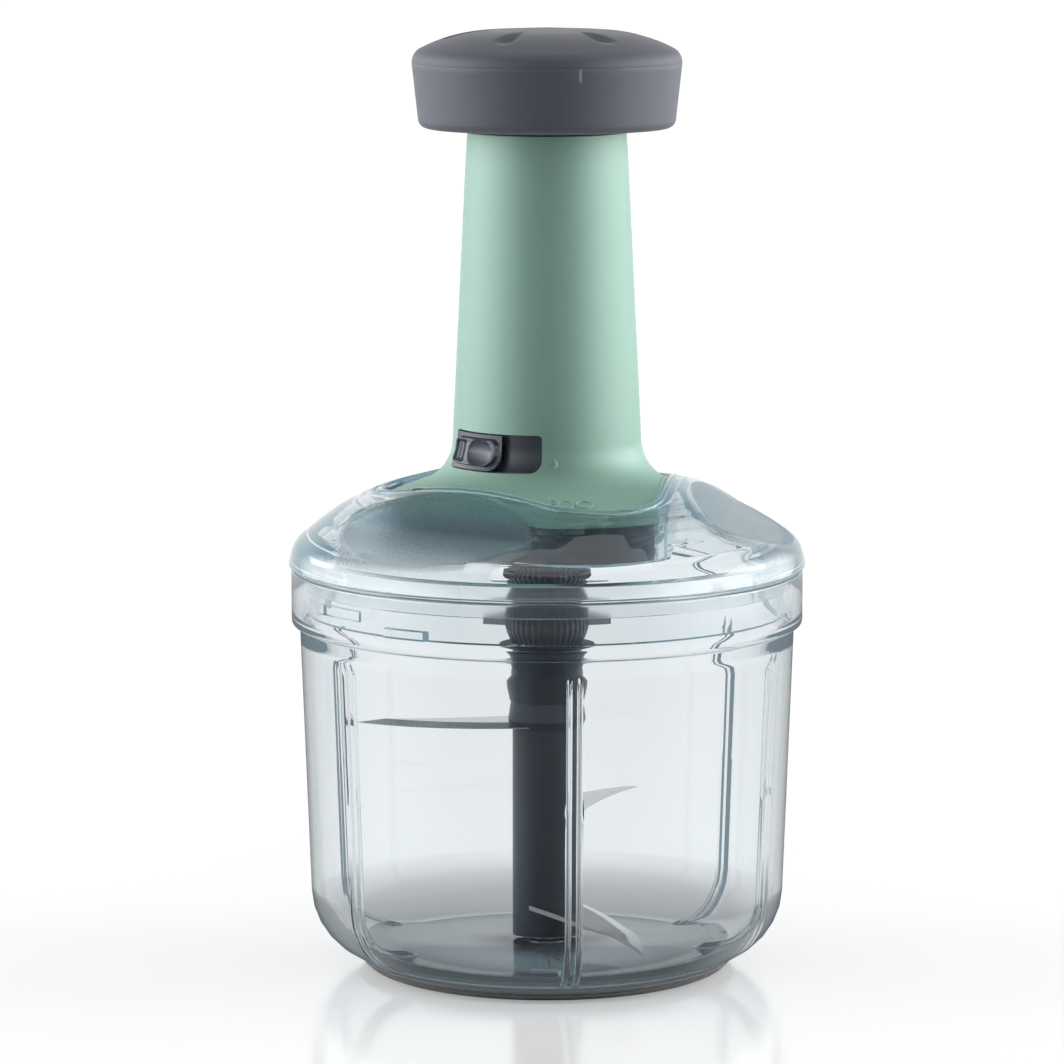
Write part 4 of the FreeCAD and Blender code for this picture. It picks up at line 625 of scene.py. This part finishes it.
def makeMarks():
    # plain rings, a dot and two hooks that show which way the switch and the lid turn
    m = markShape
    paths = []
    for middle, reach, halfLength, halfWidth, steps in m["rings"]:
        turns = [2 * math.pi * i / steps for i in range(steps)]
        paths.append(([(middle + math.degrees(math.cos(turn) * halfLength / reach),
                        reach + math.sin(turn) * halfWidth) for turn in turns], True))
    for start, step, bow, reach, stepOut, bowOut in m["hooks"]:
        bends = [math.sin(math.pi * i / m["hookSteps"]) for i in range(m["hookSteps"] + 1)]
        paths.append(([(start + i * step + bow * bend, reach + stepOut * i + bowOut * bend)
                       for i, bend in enumerate(bends)], False))
    bm = bmesh.new()
    for path, closed in paths:
        spots = [onFlare(*place) for place in path]
        rings = []
        for i, (point, normal) in enumerate(spots):
            before = spots[i - 1][0] if closed or i else point
            after = spots[(i + 1) % len(spots)][0] if closed or i < len(spots) - 1 else point
            side = (after - before).normalized().cross(normal)
            ring = bmesh.ops.create_circle(bm, segments=m["sides"], radius=1)["verts"]
            for vert in ring:
                across, up = vert.co.x * m["width"], vert.co.y * m["rise"]
                vert.co = point + side * across + normal * up
            rings.append(ring)
        for a, b in zip(rings, rings[1:] + (rings[:1] if closed else [])):
            for j in range(len(a)):
                k = (j + 1) % len(a)
                bm.faces.new((a[j], a[k], b[k], b[j]))
        if not closed:
            bm.faces.new(rings[0])
            bm.faces.new(rings[-1][::-1])
    newPiece("housing_marks", bm, "lid", "green_plastic", 50)


makeMarks()
print("marks made")


# knob

knobShape = {
    "top": 0.2398, "shoulderRadius": 0.026, "shoulderHeight": 0.2387, "shoulderCurve": 0.022,
    "seamRadius": 0.0341, "seamHeight": 0.2308, "footRadius": 0.0323, "footHeight": 0.2146,
    "footCurve": 0.0024, "lip": 0.0032, "lipCurve": 0.0003, "lipRise": 0.8, "wall": 0.0024,
    "row": 0.0006, "sideRow": 0.0012,
    "crownRadius": 0.024, "crownHeight": 0.2387, "crownCurve": 0.040,
    "brimRadius": 0.0343, "brimHeight": 0.2334, "brimCurve": 0.004,
    "dimpleCount": 6, "dimpleTurn": -78.8, "dimpleStart": 0.0125, "dimpleEnd": 0.0270,
    "dimpleHalf": 0.0046, "dimpleDepth": 0.0014,
    "dimpleWiden": 0.8, "dimpleTip": 5, "dimpleCurve": 1.6, "deepFrom": 0.7, "shallowFrom": 0.82,
    "seamHalf": 0.00016, "seamDepth": 0.00008, "seamStep": 0.00002, "seamJog": 0.00028,
    "jogTurn": -25.0, "jogFull": 1.5, "jogEnd": 4.0,
    "witnessTurn": -40.3, "witnessHalf": 0.35, "witnessLength": 0.0026, "witnessRows": 4, "witnessPale": 0.8,
    "steps": 450,
}


def makeKnob():
    k = knobShape
    wall = k["wall"]
    crown = sorted((p[0], p[1]) for p in roundedLine([
        (0, k["top"], 0, k["row"]),
        (k["crownRadius"], k["crownHeight"], k["crownCurve"], k["row"]),
        (k["brimRadius"], k["brimHeight"], k["brimCurve"], k["row"]),
        (k["seamRadius"], k["seamHeight"] + k["seamHalf"])], 34))
    side = roundedLine([
        (k["seamRadius"] - k["seamStep"], k["seamHeight"] - k["seamHalf"], 0, k["sideRow"]),
        (k["footRadius"], k["footHeight"], k["footCurve"]),
        (k["footRadius"] - k["lip"], k["footHeight"], k["lipCurve"]),
        (k["footRadius"] - k["lip"], k["footHeight"] + wall * k["lipRise"]),
        (k["footRadius"] - wall, k["footHeight"] + wall * k["lipRise"]),
        (k["seamRadius"] - wall, k["seamHeight"] - wall / 5),
        (k["shoulderRadius"] - wall / 2, k["shoulderHeight"] - wall, k["shoulderCurve"] - wall),
        (0, k["top"] - wall)], 9)

    def dent(angle, radius):
        # depth of the petal dimples, which widen outwards
        off = math.radians(angleFrom(angle, k["dimpleTurn"], k["dimpleCount"]))
        part = (radius * math.cos(off) - k["dimpleStart"]) / (k["dimpleEnd"] - k["dimpleStart"])
        if part <= 0 or part >= 1:
            return 0
        half = k["dimpleHalf"] * part ** k["dimpleWiden"] * math.sqrt(max(1 - part ** k["dimpleTip"], 0.01))
        near = abs(radius * math.sin(off)) / half
        if near >= 1:
            return 0
        groove = (1 - near * near) ** k["dimpleCurve"]
        return (k["dimpleDepth"] * groove * smoothStep(0.0, k["deepFrom"], part)
                * (1 - smoothStep(k["shallowFrom"], 1.0, part)))

    def section(angle):
        jog = k["seamJog"] * (1 - smoothStep(k["jogFull"], k["jogEnd"], abs(angleFrom(angle, k["jogTurn"]))))
        rows = []
        for i, (radius, height) in enumerate(crown):
            depth = dent(angle, radius)
            if depth:
                r0, z0 = crown[i - 1]
                r1, z1 = crown[min(i + 1, len(crown) - 1)]
                run = Vector((r1 - r0, z1 - z0)).normalized()
                radius, height = radius + run.y * depth, height - run.x * depth
            rows.append((radius, height))
        rows[-1] = (rows[-1][0], rows[-1][1] + jog)
        rows.append((k["seamRadius"] - k["seamDepth"], k["seamHeight"] + jog))
        rows.append((side[0][0], side[0][1] + jog))
        rows += [(radius, height) for radius, height, corner in side[1:]]
        return rows

    seamRow = len(crown)

    def pale(angle, row, radius, height):
        # the parting line, and a short upright witness line under it
        if row == seamRow:
            return 1.0
        under = seamRow < row < seamRow + k["witnessRows"] and height > k["seamHeight"] - k["witnessLength"]
        return k["witnessPale"] if under and abs(angleFrom(angle, k["witnessTurn"])) < k["witnessHalf"] else 0.0

    bm = turnedMesh(section, evenSteps(k["steps"]), closed=False, mask=pale)
    knob = newPiece("knob_soft", bm, "plunger", "soft_grip", 40)
    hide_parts("knob_grip")
    return knob


knob = makeKnob()
print("knob made,", len(knob.data.polygons), "faces")


# switch button

buttonShape = {
    "middle": -102.5, "width": 40.6, "bottom": 0.13, "top": 0.1388, "inner": 0.0236,
    "footRadius": 0.0273, "waistRadius": 0.0253, "waistHeight": 0.1344, "waistCurve": 0.012, "headRadius": 0.025,
    "bend": 0.0255, "border": 0.0008, "borderDrop": 0.0012, "corner": 0.0022, "edge": 0.0006, "cornerLarge": 0.0036,
    "ribEnd": 0.0071, "ribStart": 0.0016, "ribPitch": 0.0017, "ribRise": 0.00045, "ribSink": 0.00035,
    "ribIn": 0.001, "ribOut": 0.0006, "ribNear": 0.0007, "ribFar": 0.0016,
    "dishMiddle": 0.0118, "dishHalf": 0.0040, "dishDepth": 0.0009, "dishGap": 0.0010, "dishCurve": 0.8,
    "stemHalf": 0.003, "stemRise": 0.0018, "stemInner": 0.0203, "columns": 150, "rows": 72,
}


def makeButton():
    t = buttonShape
    line = roundedLine([(t["footRadius"], t["bottom"]), (t["waistRadius"], t["waistHeight"], t["waistCurve"]),
                        (t["headRadius"], t["top"])], 10)
    levels = [(p[1], p[0]) for p in line]
    length = math.radians(t["width"]) * t["bend"]
    tall = t["top"] - t["bottom"]

    def relief(along, up):
        # how far a point lies below the button's face
        corner = t["cornerLarge"] if along > length / 2 and up < tall / 2 else t["corner"]
        halfX, halfY = length / 2 - t["border"] - corner, tall / 2 - t["border"] - corner
        x, y = abs(along - length / 2) - halfX, abs(up - tall / 2) - halfY
        inside = corner - math.hypot(max(x, 0), max(y, 0)) - min(max(x, y), 0)
        drop = t["borderDrop"] * (1 - smoothStep(0, t["edge"], inside))
        if inside <= 0:
            return drop
        if along < t["ribEnd"]:
            wave = math.cos(2 * math.pi * (along - t["ribStart"]) / t["ribPitch"])
            ribbed = smoothStep(t["ribStart"] - t["ribIn"], t["ribStart"], along)
            ribbed *= 1 - smoothStep(t["ribEnd"] - t["ribOut"], t["ribEnd"], along)
            ribbed *= smoothStep(t["ribNear"], t["ribFar"], inside)
            drop += (t["ribSink"] + t["ribRise"] * (0.5 - 0.5 * wave)) * ribbed
        off = math.hypot((along - t["dishMiddle"]) / t["dishHalf"], (up - tall / 2) / (tall / 2 - t["dishGap"]))
        if off < 1:
            drop += t["dishDepth"] * (1 - off * off) ** t["dishCurve"]
        return drop

    bm = bmesh.new()
    bmesh.ops.create_grid(bm, x_segments=t["columns"], y_segments=t["rows"], size=0.5)
    for vert in bm.verts:
        along = (vert.co.x + 0.5) * length
        past = max(along - length + t["cornerLarge"], 0)
        foot = t["cornerLarge"] - math.sqrt(max(t["cornerLarge"] ** 2 - past * past, 0))
        up = foot + (vert.co.y + 0.5) * (tall - foot)
        angle = math.radians(t["middle"] + t["width"] * vert.co.x)
        height = t["bottom"] + up
        radius = heightOn(levels, height) - relief(along, up)
        vert.co = (radius * math.cos(angle), radius * math.sin(angle), height)
    middle = math.radians(t["middle"])
    beside = Vector((-math.sin(middle), math.cos(middle), 0))
    made = bmesh.ops.extrude_face_region(bm, geom=bm.faces[:], use_keep_orig=True)["geom"]
    atRadius(pointsOf(made), t["inner"])
    centre = t["bottom"] + tall / 2
    stem = [face for face in made if isinstance(face, bmesh.types.BMFace)
            and abs(face.calc_center_median().dot(beside)) < t["stemHalf"]
            and abs(face.calc_center_median().z - centre) < t["stemRise"]]
    atRadius(pointsOf(bmesh.ops.extrude_face_region(bm, geom=stem)["geom"]), t["stemInner"])
    button = newPiece("switch_slider", bm, "lock", "grey_plastic", 40)
    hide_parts("switch_button")
    return button


button = makeButton()
print("switch made,", len(button.data.polygons), "faces")


# materials

def newGroup(name, inputs, outputs):
    group = bpy.data.node_groups.new(name, "ShaderNodeTree")
    for label, value in inputs.items():
        socket = group.interface.new_socket(label, in_out="INPUT", socket_type="NodeSocketFloat")
        socket.default_value = value
    for label in outputs:
        group.interface.new_socket(label, in_out="OUTPUT", socket_type="NodeSocketFloat")
    return group, group.nodes.new("NodeGroupInput").outputs, group.nodes.new("NodeGroupOutput")


def node(tree, kind, links=None, **values):
    made = tree.nodes.new(kind)
    for label, value in values.items():
        setattr(made, label, value)
    for socket, value in (links or {}).items():
        target = made.inputs[socket]
        if isinstance(value, bpy.types.NodeSocket):
            tree.links.new(value, target)
        else:
            target.default_value = value
    return made


def sums(tree, operation, *values, **settings):
    # one Math node; the values are numbers or sockets
    return node(tree, "ShaderNodeMath", dict(enumerate(values)), operation=operation, **settings).outputs[0]


def makeGroup(name, inputs, build):
    # a group for a finish's roughness and relief, from Object coordinates
    group, given, out = newGroup(name, {**inputs, "Roughness": 0.4, "Spread": 0.1}, ("Roughness", "Height"))
    place = node(group, "ShaderNodeTexCoord").outputs["Object"]
    height, slow = build(group, given, place)
    shift = sums(group, "SUBTRACT", slow, 0.5)
    rough = sums(group, "MULTIPLY_ADD", shift, given["Spread"], given["Roughness"], use_clamp=True)
    group.links.new(rough, out.inputs["Roughness"])
    group.links.new(height, out.inputs["Height"])
    return group


def grain(group, given, place):
    # fine moulded grain, and slow patches that shift the roughness
    return [node(group, "ShaderNodeTexNoise", {"Vector": place, "Scale": given[scale], "Detail": detail}).outputs[0]
            for scale, detail in (("Fine", 2.0), ("Patch", 4.0))]


def brush(group, given, place):
    # strokes along the blades' length: noise drawn out along X, tight in Y and in height
    parts = node(group, "ShaderNodeSeparateXYZ", {0: place}).outputs
    scaled = {axis: sums(group, "MULTIPLY", parts[axis], given[scale])
              for axis, scale in (("X", "Long"), ("Y", "Tight"), ("Z", "Tight"))}
    joined = node(group, "ShaderNodeCombineXYZ", scaled).outputs[0]
    strokes = node(group, "ShaderNodeTexNoise", {"Vector": joined, "Scale": 1.0, "Detail": 3.0}).outputs[0]
    return strokes, strokes


def makeFlutes():
    # fine upright ribs round the axis between two heights
    group, given, out = newGroup("upright_ribs", {"Count": 40.0, "Bottom": 0.083, "Top": 0.093}, ("Height",))
    place = node(group, "ShaderNodeTexCoord").outputs["Object"]
    parts = node(group, "ShaderNodeSeparateXYZ", {0: place}).outputs
    turn = sums(group, "ARCTAN2", parts["Y"], parts["X"])
    ridge = sums(group, "COSINE", sums(group, "MULTIPLY", turn, given["Count"]))
    above = sums(group, "GREATER_THAN", parts["Z"], given["Bottom"])
    below = sums(group, "LESS_THAN", parts["Z"], given["Top"])
    ribs = sums(group, "MULTIPLY", ridge, sums(group, "MULTIPLY", above, below))
    group.links.new(ribs, out.inputs["Height"])
    return group


grainGroup = makeGroup("moulded_grain", {"Fine": 2600.0, "Patch": 45.0}, grain)
brushGroup = makeGroup("brushed_steel", {"Tight": 5200.0, "Long": 260.0}, brush)
fluteGroup = makeFlutes()


def startMaterial(name, look):
    material = bpy.data.materials.new(name)
    material.use_nodes = True
    tree = material.node_tree
    tree.nodes.clear()
    skin = node(tree, "ShaderNodeBsdfPrincipled", {"Base Color": (*look["colour"], 1)})
    return material, tree, skin, node(tree, "ShaderNodeOutputMaterial")


def useGroup(tree, group, **values):
    return node(tree, "ShaderNodeGroup", values, node_tree=group).outputs


reliefLook = {"bump": 0.08, "bumpDepth": 0.0004, "flutes": 0.8, "fluteDepth": 0.0002}


def solidMaterial(name, look):
    material, tree, skin, out = startMaterial(name, look)
    skin.inputs["Metallic"].default_value = look.get("metallic", 0.0)
    skin.inputs["Specular IOR Level"].default_value = look.get("specular", 0.5)
    skin.inputs["Sheen Weight"].default_value = look.get("sheen", 0.0)
    group = useGroup(tree, look.get("group", grainGroup), Roughness=look["roughness"], Spread=look.get("spread", 0.1))
    tree.links.new(group["Roughness"], skin.inputs["Roughness"])
    bump = node(tree, "ShaderNodeBump", {"Height": group["Height"], "Strength": look.get("bump", reliefLook["bump"]),
                                         "Distance": reliefLook["bumpDepth"]})
    if look.get("flutes"):
        bump = node(tree, "ShaderNodeBump", {
            "Height": useGroup(tree, fluteGroup)[0], "Strength": reliefLook["flutes"],
            "Distance": reliefLook["fluteDepth"], "Normal": bump.outputs[0]})
    tree.links.new(bump.outputs[0], skin.inputs["Normal"])
    if "seam" in look:
        mask = node(tree, "ShaderNodeAttribute", attribute_name="mask").outputs["Fac"]
        mix = node(tree, "ShaderNodeMix", {"Factor": mask, "A": (*look["colour"], 1), "B": (*look["seam"], 1)},
                   data_type="RGBA")
        tree.links.new(mix.outputs["Result"], skin.inputs["Base Color"])
    tree.links.new(skin.outputs[0], out.inputs["Surface"])
    return material


clearLook = {
    "specular": 0.4, "frostSpread": 0.2, "frostDepth": 0.0003,
    "speckStart": 0.36, "speckEnd": 0.64, "speckDark": 0.90, "speckPale": 1.12,
    "deepest": 9.5, "mostTurns": 2.5,       # bounces of light before it counts as caught in a wall
}


def frostScoops(tree, skin, look):
    # a fine frosted grain with its own tint where the mask is set; the tint is partly the frost's own tone and partly
    # painted shade, fullest where the mask is 1
    c = clearLook
    mask = node(tree, "ShaderNodeAttribute", attribute_name="mask").outputs["Fac"]
    frosted = useGroup(tree, grainGroup, Roughness=look["frost"], Spread=c["frostSpread"], Fine=look["frostGrain"])
    speck = node(tree, "ShaderNodeMapRange", {"Value": frosted["Height"], "From Min": c["speckStart"],
                                              "From Max": c["speckEnd"]})
    dark, pale = ((*(part * c[share] for part in look["frostShadeColour"]), 1) for share in ("speckDark", "speckPale"))
    shade = node(tree, "ShaderNodeMix", {"Factor": speck.outputs["Result"], "A": dark, "B": pale}, data_type="RGBA")
    tint = node(tree, "ShaderNodeMix", {"Factor": mask, "A": (*look["colour"], 1), "B": shade.outputs["Result"]},
                data_type="RGBA")
    tree.links.new(tint.outputs["Result"], skin.inputs["Base Color"])
    full = sums(tree, "MULTIPLY", mask, look["frostReach"], use_clamp=True)
    rough = node(tree, "ShaderNodeMix", {"Factor": full, "A": look["roughness"], "B": frosted["Roughness"]})
    tree.links.new(rough.outputs[0], skin.inputs["Roughness"])
    bump = node(tree, "ShaderNodeBump", {"Height": sums(tree, "MULTIPLY", frosted["Height"], full),
                                         "Strength": look["frostBump"], "Distance": c["frostDepth"]})
    tree.links.new(bump.outputs[0], skin.inputs["Normal"])


def clearMaterial(name, look):
    # clear plastic that lets light pass in shadows and darkens with depth
    material, tree, skin, out = startMaterial(name, look)
    skin.inputs["Transmission Weight"].default_value = 1.0
    skin.inputs["IOR"].default_value = look["ior"]
    skin.inputs["Specular IOR Level"].default_value = clearLook["specular"]
    skin.inputs["Roughness"].default_value = look["roughness"]
    if "frost" in look:
        frostScoops(tree, skin, look)
    path = node(tree, "ShaderNodeLightPath").outputs
    # light that is caught in a wall for long comes out somewhere; here it ends in a painted glow in the surroundings'
    # colour
    caught = sums(tree, "MAXIMUM", sums(tree, "GREATER_THAN", path["Ray Depth"], clearLook["deepest"]),
                  sums(tree, "GREATER_THAN", path["Glossy Depth"], clearLook["mostTurns"]))
    paintedGlow = node(tree, "ShaderNodeEmission", {"Color": (*look["caught"], 1), "Strength": 1.0})
    traced = node(tree, "ShaderNodeMixShader", {0: caught, 1: skin.outputs[0], 2: paintedGlow.outputs[0]})
    pale = node(tree, "ShaderNodeBsdfTransparent", {"Color": (*look["shadow"], 1)})
    mix = node(tree, "ShaderNodeMixShader", {0: path["Is Shadow Ray"], 1: traced.outputs[0], 2: pale.outputs[0]})
    depth = node(tree, "ShaderNodeVolumeAbsorption", {"Color": (*look["depth"], 1), "Density": look["density"]})
    tree.links.new(mix.outputs[0], out.inputs["Surface"])
    tree.links.new(depth.outputs[0], out.inputs["Volume"])
    return material


finishes = {
    "green_plastic": solidMaterial("sage_plastic", {
        "colour": (0.184, 0.318, 0.260), "roughness": 0.44, "spread": 0.06, "bump": 0.05, "specular": 0.6}),
    "soft_grip": solidMaterial("soft_touch", {
        "colour": (0.063, 0.069, 0.087), "roughness": 0.6, "spread": 0.06, "bump": 0.10, "sheen": 0.12,
        "seam": (0.30, 0.31, 0.33)}),
    "grey_plastic": solidMaterial("dark_plastic", {
        "colour": (0.029, 0.037, 0.051), "roughness": 0.36, "spread": 0.1, "bump": 0.05, "flutes": True}),
    "pad_rubber": solidMaterial("pad_rubber", {
        "colour": (0.150, 0.151, 0.153), "roughness": 0.78, "bump": 0.2}),
    "white_plastic": solidMaterial("inner_plastic", {
        "colour": (0.46, 0.47, 0.46), "roughness": 0.42, "bump": 0.05}),
    "blade_steel": solidMaterial("blade_steel", {
        "colour": (0.66, 0.67, 0.68), "roughness": 0.24, "spread": 0.2, "bump": 0.06, "metallic": 1.0,
        "group": brushGroup}),
    "plated_steel": solidMaterial("plated_steel", {
        "colour": (0.62, 0.63, 0.64), "roughness": 0.2, "spread": 0.1, "bump": 0.03, "metallic": 1.0}),
    "seal_silicone": clearMaterial("seal_silicone", {
        "colour": (0.955, 0.972, 0.98), "roughness": 0.09, "ior": 1.41, "shadow": (0.9, 0.93, 0.94),
        "depth": (0.5, 0.6, 0.62), "density": 20.0, "caught": (0.26, 0.33, 0.37)}),
    "clear_bowl": clearMaterial("clear_bowl", {
        "colour": (0.970, 0.985, 0.994), "roughness": 0.0, "ior": 1.49, "shadow": (0.93, 0.95, 0.96),
        "depth": (0.40, 0.60, 0.66), "density": 24.0, "caught": (0.22, 0.28, 0.32)}),
    "clear_lid": clearMaterial("clear_lid", {
        "colour": (0.955, 0.98, 0.988), "roughness": 0.0, "ior": 1.5, "shadow": (0.84, 0.90, 0.92),
        "depth": (0.30, 0.62, 0.72), "density": 15.0, "caught": (0.24, 0.36, 0.42), "frost": 0.36,
        "frostShadeColour": (0.68, 0.82, 0.88), "frostReach": 3.0, "frostGrain": 1000.0, "frostBump": 0.3}),
}


def dressPieces(slotOfPiece):
    # each new piece and each carried-over node takes its slot's finish
    for piece, slotName in slotOfPiece:
        piece.data.materials.append(finishes[slotName])
    slotOf = {entry["node"]: entry["material_slot"] for entry in frame["record"]["subparts"]}
    for name, solid in frame["nodes"].items():
        for materialSlot in solid.material_slots:
            materialSlot.material = finishes[slotOf[name]]


dressPieces(slotted)
print("finishes on")


# floor, light and background

lamps = {       # turn is in degrees from the camera
    "side_left": {"turn": -92.0, "away": 0.75, "height": 0.28, "size": (0.5, 0.9), "power": 9.8},
    "side_right": {"turn": 92.0, "away": 0.75, "height": 0.28, "size": (0.5, 0.9), "power": 11.0},
    "top": {"turn": 0.0, "away": 0.0, "height": 1.1, "size": (0.8, 0.8), "power": 2.4, "glossy": True},
    "front": {"turn": 10.0, "away": 1.4, "height": 0.9, "size": (0.7, 0.7), "power": 0.15},
}
lampAim = (0, 0, 0.12)

lightPlan = {
    "none": 0.0, "beyond": 1.0, "once": 0.5,
    # the world: by how far up (sine) or to the side a ray goes
    "diffuse": 0.20, "gloss": 0.06, "bandEnd": 0.25, "darkStart": 0.6,
    "overStart": 0.22, "overEnd": 0.5, "overhead": 0.12, "panelStart": 0.5, "panelEnd": 0.95, "panelGlow": 5.0,
    # the floor: by the distance from the object in metres
    "floorRadius": 12.0, "floorSides": 96, "floorColour": (0.9, 0.9, 0.9, 1),
    "floorShare": 0.4, "floorNear": 1.25, "floorFar": 1.04, "nearEnd": 0.25, "lampEnd": 0.7, "farStart": 0.7,
    "floorSheen": 0.42, "floorSheenRoughness": 0.14, "sheenStart": 0.12, "sheenEnd": 0.45,
    "glossNear": 0.12, "glossFar": 1.0, "glossNearEnd": 0.45, "glossFarStart": 1.0,
    "sideEnd": 0.1, "frontStart": 0.8, "frontGloss": 0.2,
    "throughStart": 0.07, "throughEnd": 0.20, "shade": 0.4, "beyondShare": 0.85,
}


def addLamp(name, plan):
    data = bpy.data.lights.new(name, "AREA")
    data.shape = "RECTANGLE"
    data.size, data.size_y = plan["size"]
    data.energy = plan["power"]
    place = around(cameraLook["azimuth"] + plan["turn"], plan["away"], plan["height"])
    lamp = aimed(name, data, place, Vector(lampAim) - place)
    # the lamps light the object, but don't stand in the picture or in clear walls; the world gives the gloss
    lamp.visible_camera = False
    lamp.visible_glossy = plan.get("glossy", False)
    lamp.visible_transmission = False


def ramp(tree, source, start, end, first, last):
    # a smooth change from one level to another between two values, all named in lightPlan
    labels = ("From Min", "From Max", "To Min", "To Max")
    limits = {label: lightPlan[name] for label, name in zip(labels, (start, end, first, last))}
    return node(tree, "ShaderNodeMapRange", {"Value": source, **limits},
                interpolation_type="SMOOTHSTEP").outputs["Result"]


def addWorld():
    # the camera sees white; clear plastic sees white up to a height; gloss sees a white band and two side panels
    world = bpy.data.worlds.new("studio")
    bpy.context.scene.world = world
    world.use_nodes = True
    tree = world.node_tree
    tree.nodes.clear()
    path = node(tree, "ShaderNodeLightPath").outputs
    way = node(tree, "ShaderNodeTexCoord").outputs["Generated"]
    up = node(tree, "ShaderNodeSeparateXYZ", {0: way}).outputs["Z"]
    inside = sums(tree, "GREATER_THAN", path["Transmission Depth"], lightPlan["once"])
    mirrored = sums(tree, "GREATER_THAN", path["Glossy Depth"], lightPlan["once"])
    side = around(cameraLook["azimuth"] + lamps["side_right"]["turn"], 1, 0)
    across = node(tree, "ShaderNodeVectorMath", {0: way, 1: side}, operation="DOT_PRODUCT").outputs["Value"]
    panels = ramp(tree, sums(tree, "ABSOLUTE", across), "panelStart", "panelEnd", "none", "panelGlow")
    panels = sums(tree, "MULTIPLY", panels, sums(tree, "SUBTRACT", 1.0, inside))
    band = ramp(tree, up, "bandEnd", "darkStart", "beyond", "gloss")
    band = sums(tree, "MULTIPLY", band, sums(tree, "ADD", panels, 1.0))
    overhead = ramp(tree, up, "overStart", "overEnd", "beyond", "overhead")
    gloss = sums(tree, "MAXIMUM", band, sums(tree, "MULTIPLY", inside, overhead))
    level = lightPlan["diffuse"]
    for ray, strength in ((path["Is Transmission Ray"], overhead), (mirrored, gloss),
                          (path["Is Camera Ray"], lightPlan["beyond"])):
        level = node(tree, "ShaderNodeMix", {"Factor": ray, "A": level, "B": strength}).outputs[0]
    back = node(tree, "ShaderNodeBackground", {"Color": (1, 1, 1, 1), "Strength": level})
    node(tree, "ShaderNodeOutputWorld", {"Surface": back.outputs[0]})


def addFloor():
    bm = bmesh.new()
    bmesh.ops.create_circle(bm, cap_ends=True, segments=lightPlan["floorSides"], radius=lightPlan["floorRadius"])
    floor = objectFrom("floor", bm)
    material = bpy.data.materials.new("floor_white")
    material.use_nodes = True
    tree = material.node_tree
    tree.nodes.clear()
    path = node(tree, "ShaderNodeLightPath").outputs
    place = node(tree, "ShaderNodeTexCoord").outputs["Object"]
    away = node(tree, "ShaderNodeVectorMath", {0: place}, operation="LENGTH").outputs["Value"]

    def glowing(strength):
        return node(tree, "ShaderNodeEmission", {"Strength": strength})

    def mixed(factor, first, second):
        return node(tree, "ShaderNodeMixShader", {0: factor, 1: first.outputs[0], 2: second.outputs[0]})

    matt = node(tree, "ShaderNodeBsdfDiffuse", {"Color": lightPlan["floorColour"]})
    sheen = node(tree, "ShaderNodeBsdfGlossy", {"Roughness": lightPlan["floorSheenRoughness"]})
    # the camera: shadows near the object, plain white far away, and a mirror image close by
    glow = glowing(ramp(tree, away, "nearEnd", "farStart", "floorNear", "floorFar"))
    lit = mixed(ramp(tree, away, "nearEnd", "lampEnd", "floorShare", "beyond"), matt, glow)
    seen = mixed(ramp(tree, away, "sheenStart", "sheenEnd", "floorSheen", "none"), lit, sheen)
    # through clear plastic: white, with shade under the object
    shade = ramp(tree, away, "throughStart", "throughEnd", "shade", "beyond")
    clear = mixed(path["Is Transmission Ray"], matt, mixed(lightPlan["beyondShare"], matt, glowing(shade)))
    # what has been mirrored once, also behind clear plastic, sees a darker floor in front of the object
    ahead = node(tree, "ShaderNodeVectorMath", {0: place}, operation="NORMALIZE").outputs["Vector"]
    facing = node(tree, "ShaderNodeVectorMath", {0: ahead, 1: around(cameraLook["azimuth"], 1, 0)},
                  operation="DOT_PRODUCT").outputs["Value"]
    inside = sums(tree, "GREATER_THAN", path["Transmission Depth"], lightPlan["once"])
    part = node(tree, "ShaderNodeMix", {
        "Factor": inside, "A": ramp(tree, away, "glossNearEnd", "glossFarStart", "glossNear", "glossFar"), "B": shade})
    level = sums(tree, "MULTIPLY", part.outputs[0], ramp(tree, facing, "sideEnd", "frontStart", "beyond", "frontGloss"))
    turned = sums(tree, "GREATER_THAN", path["Glossy Depth"], lightPlan["once"])
    final = mixed(path["Is Camera Ray"], mixed(turned, clear, glowing(level)), seen)
    node(tree, "ShaderNodeOutputMaterial", {"Surface": final.outputs[0]})
    floor.data.materials.append(material)


for name, plan in lamps.items():
    addLamp(name, plan)
addWorld()
addFloor()
bpy.context.scene.view_settings.view_transform = "Standard"
print("studio set")
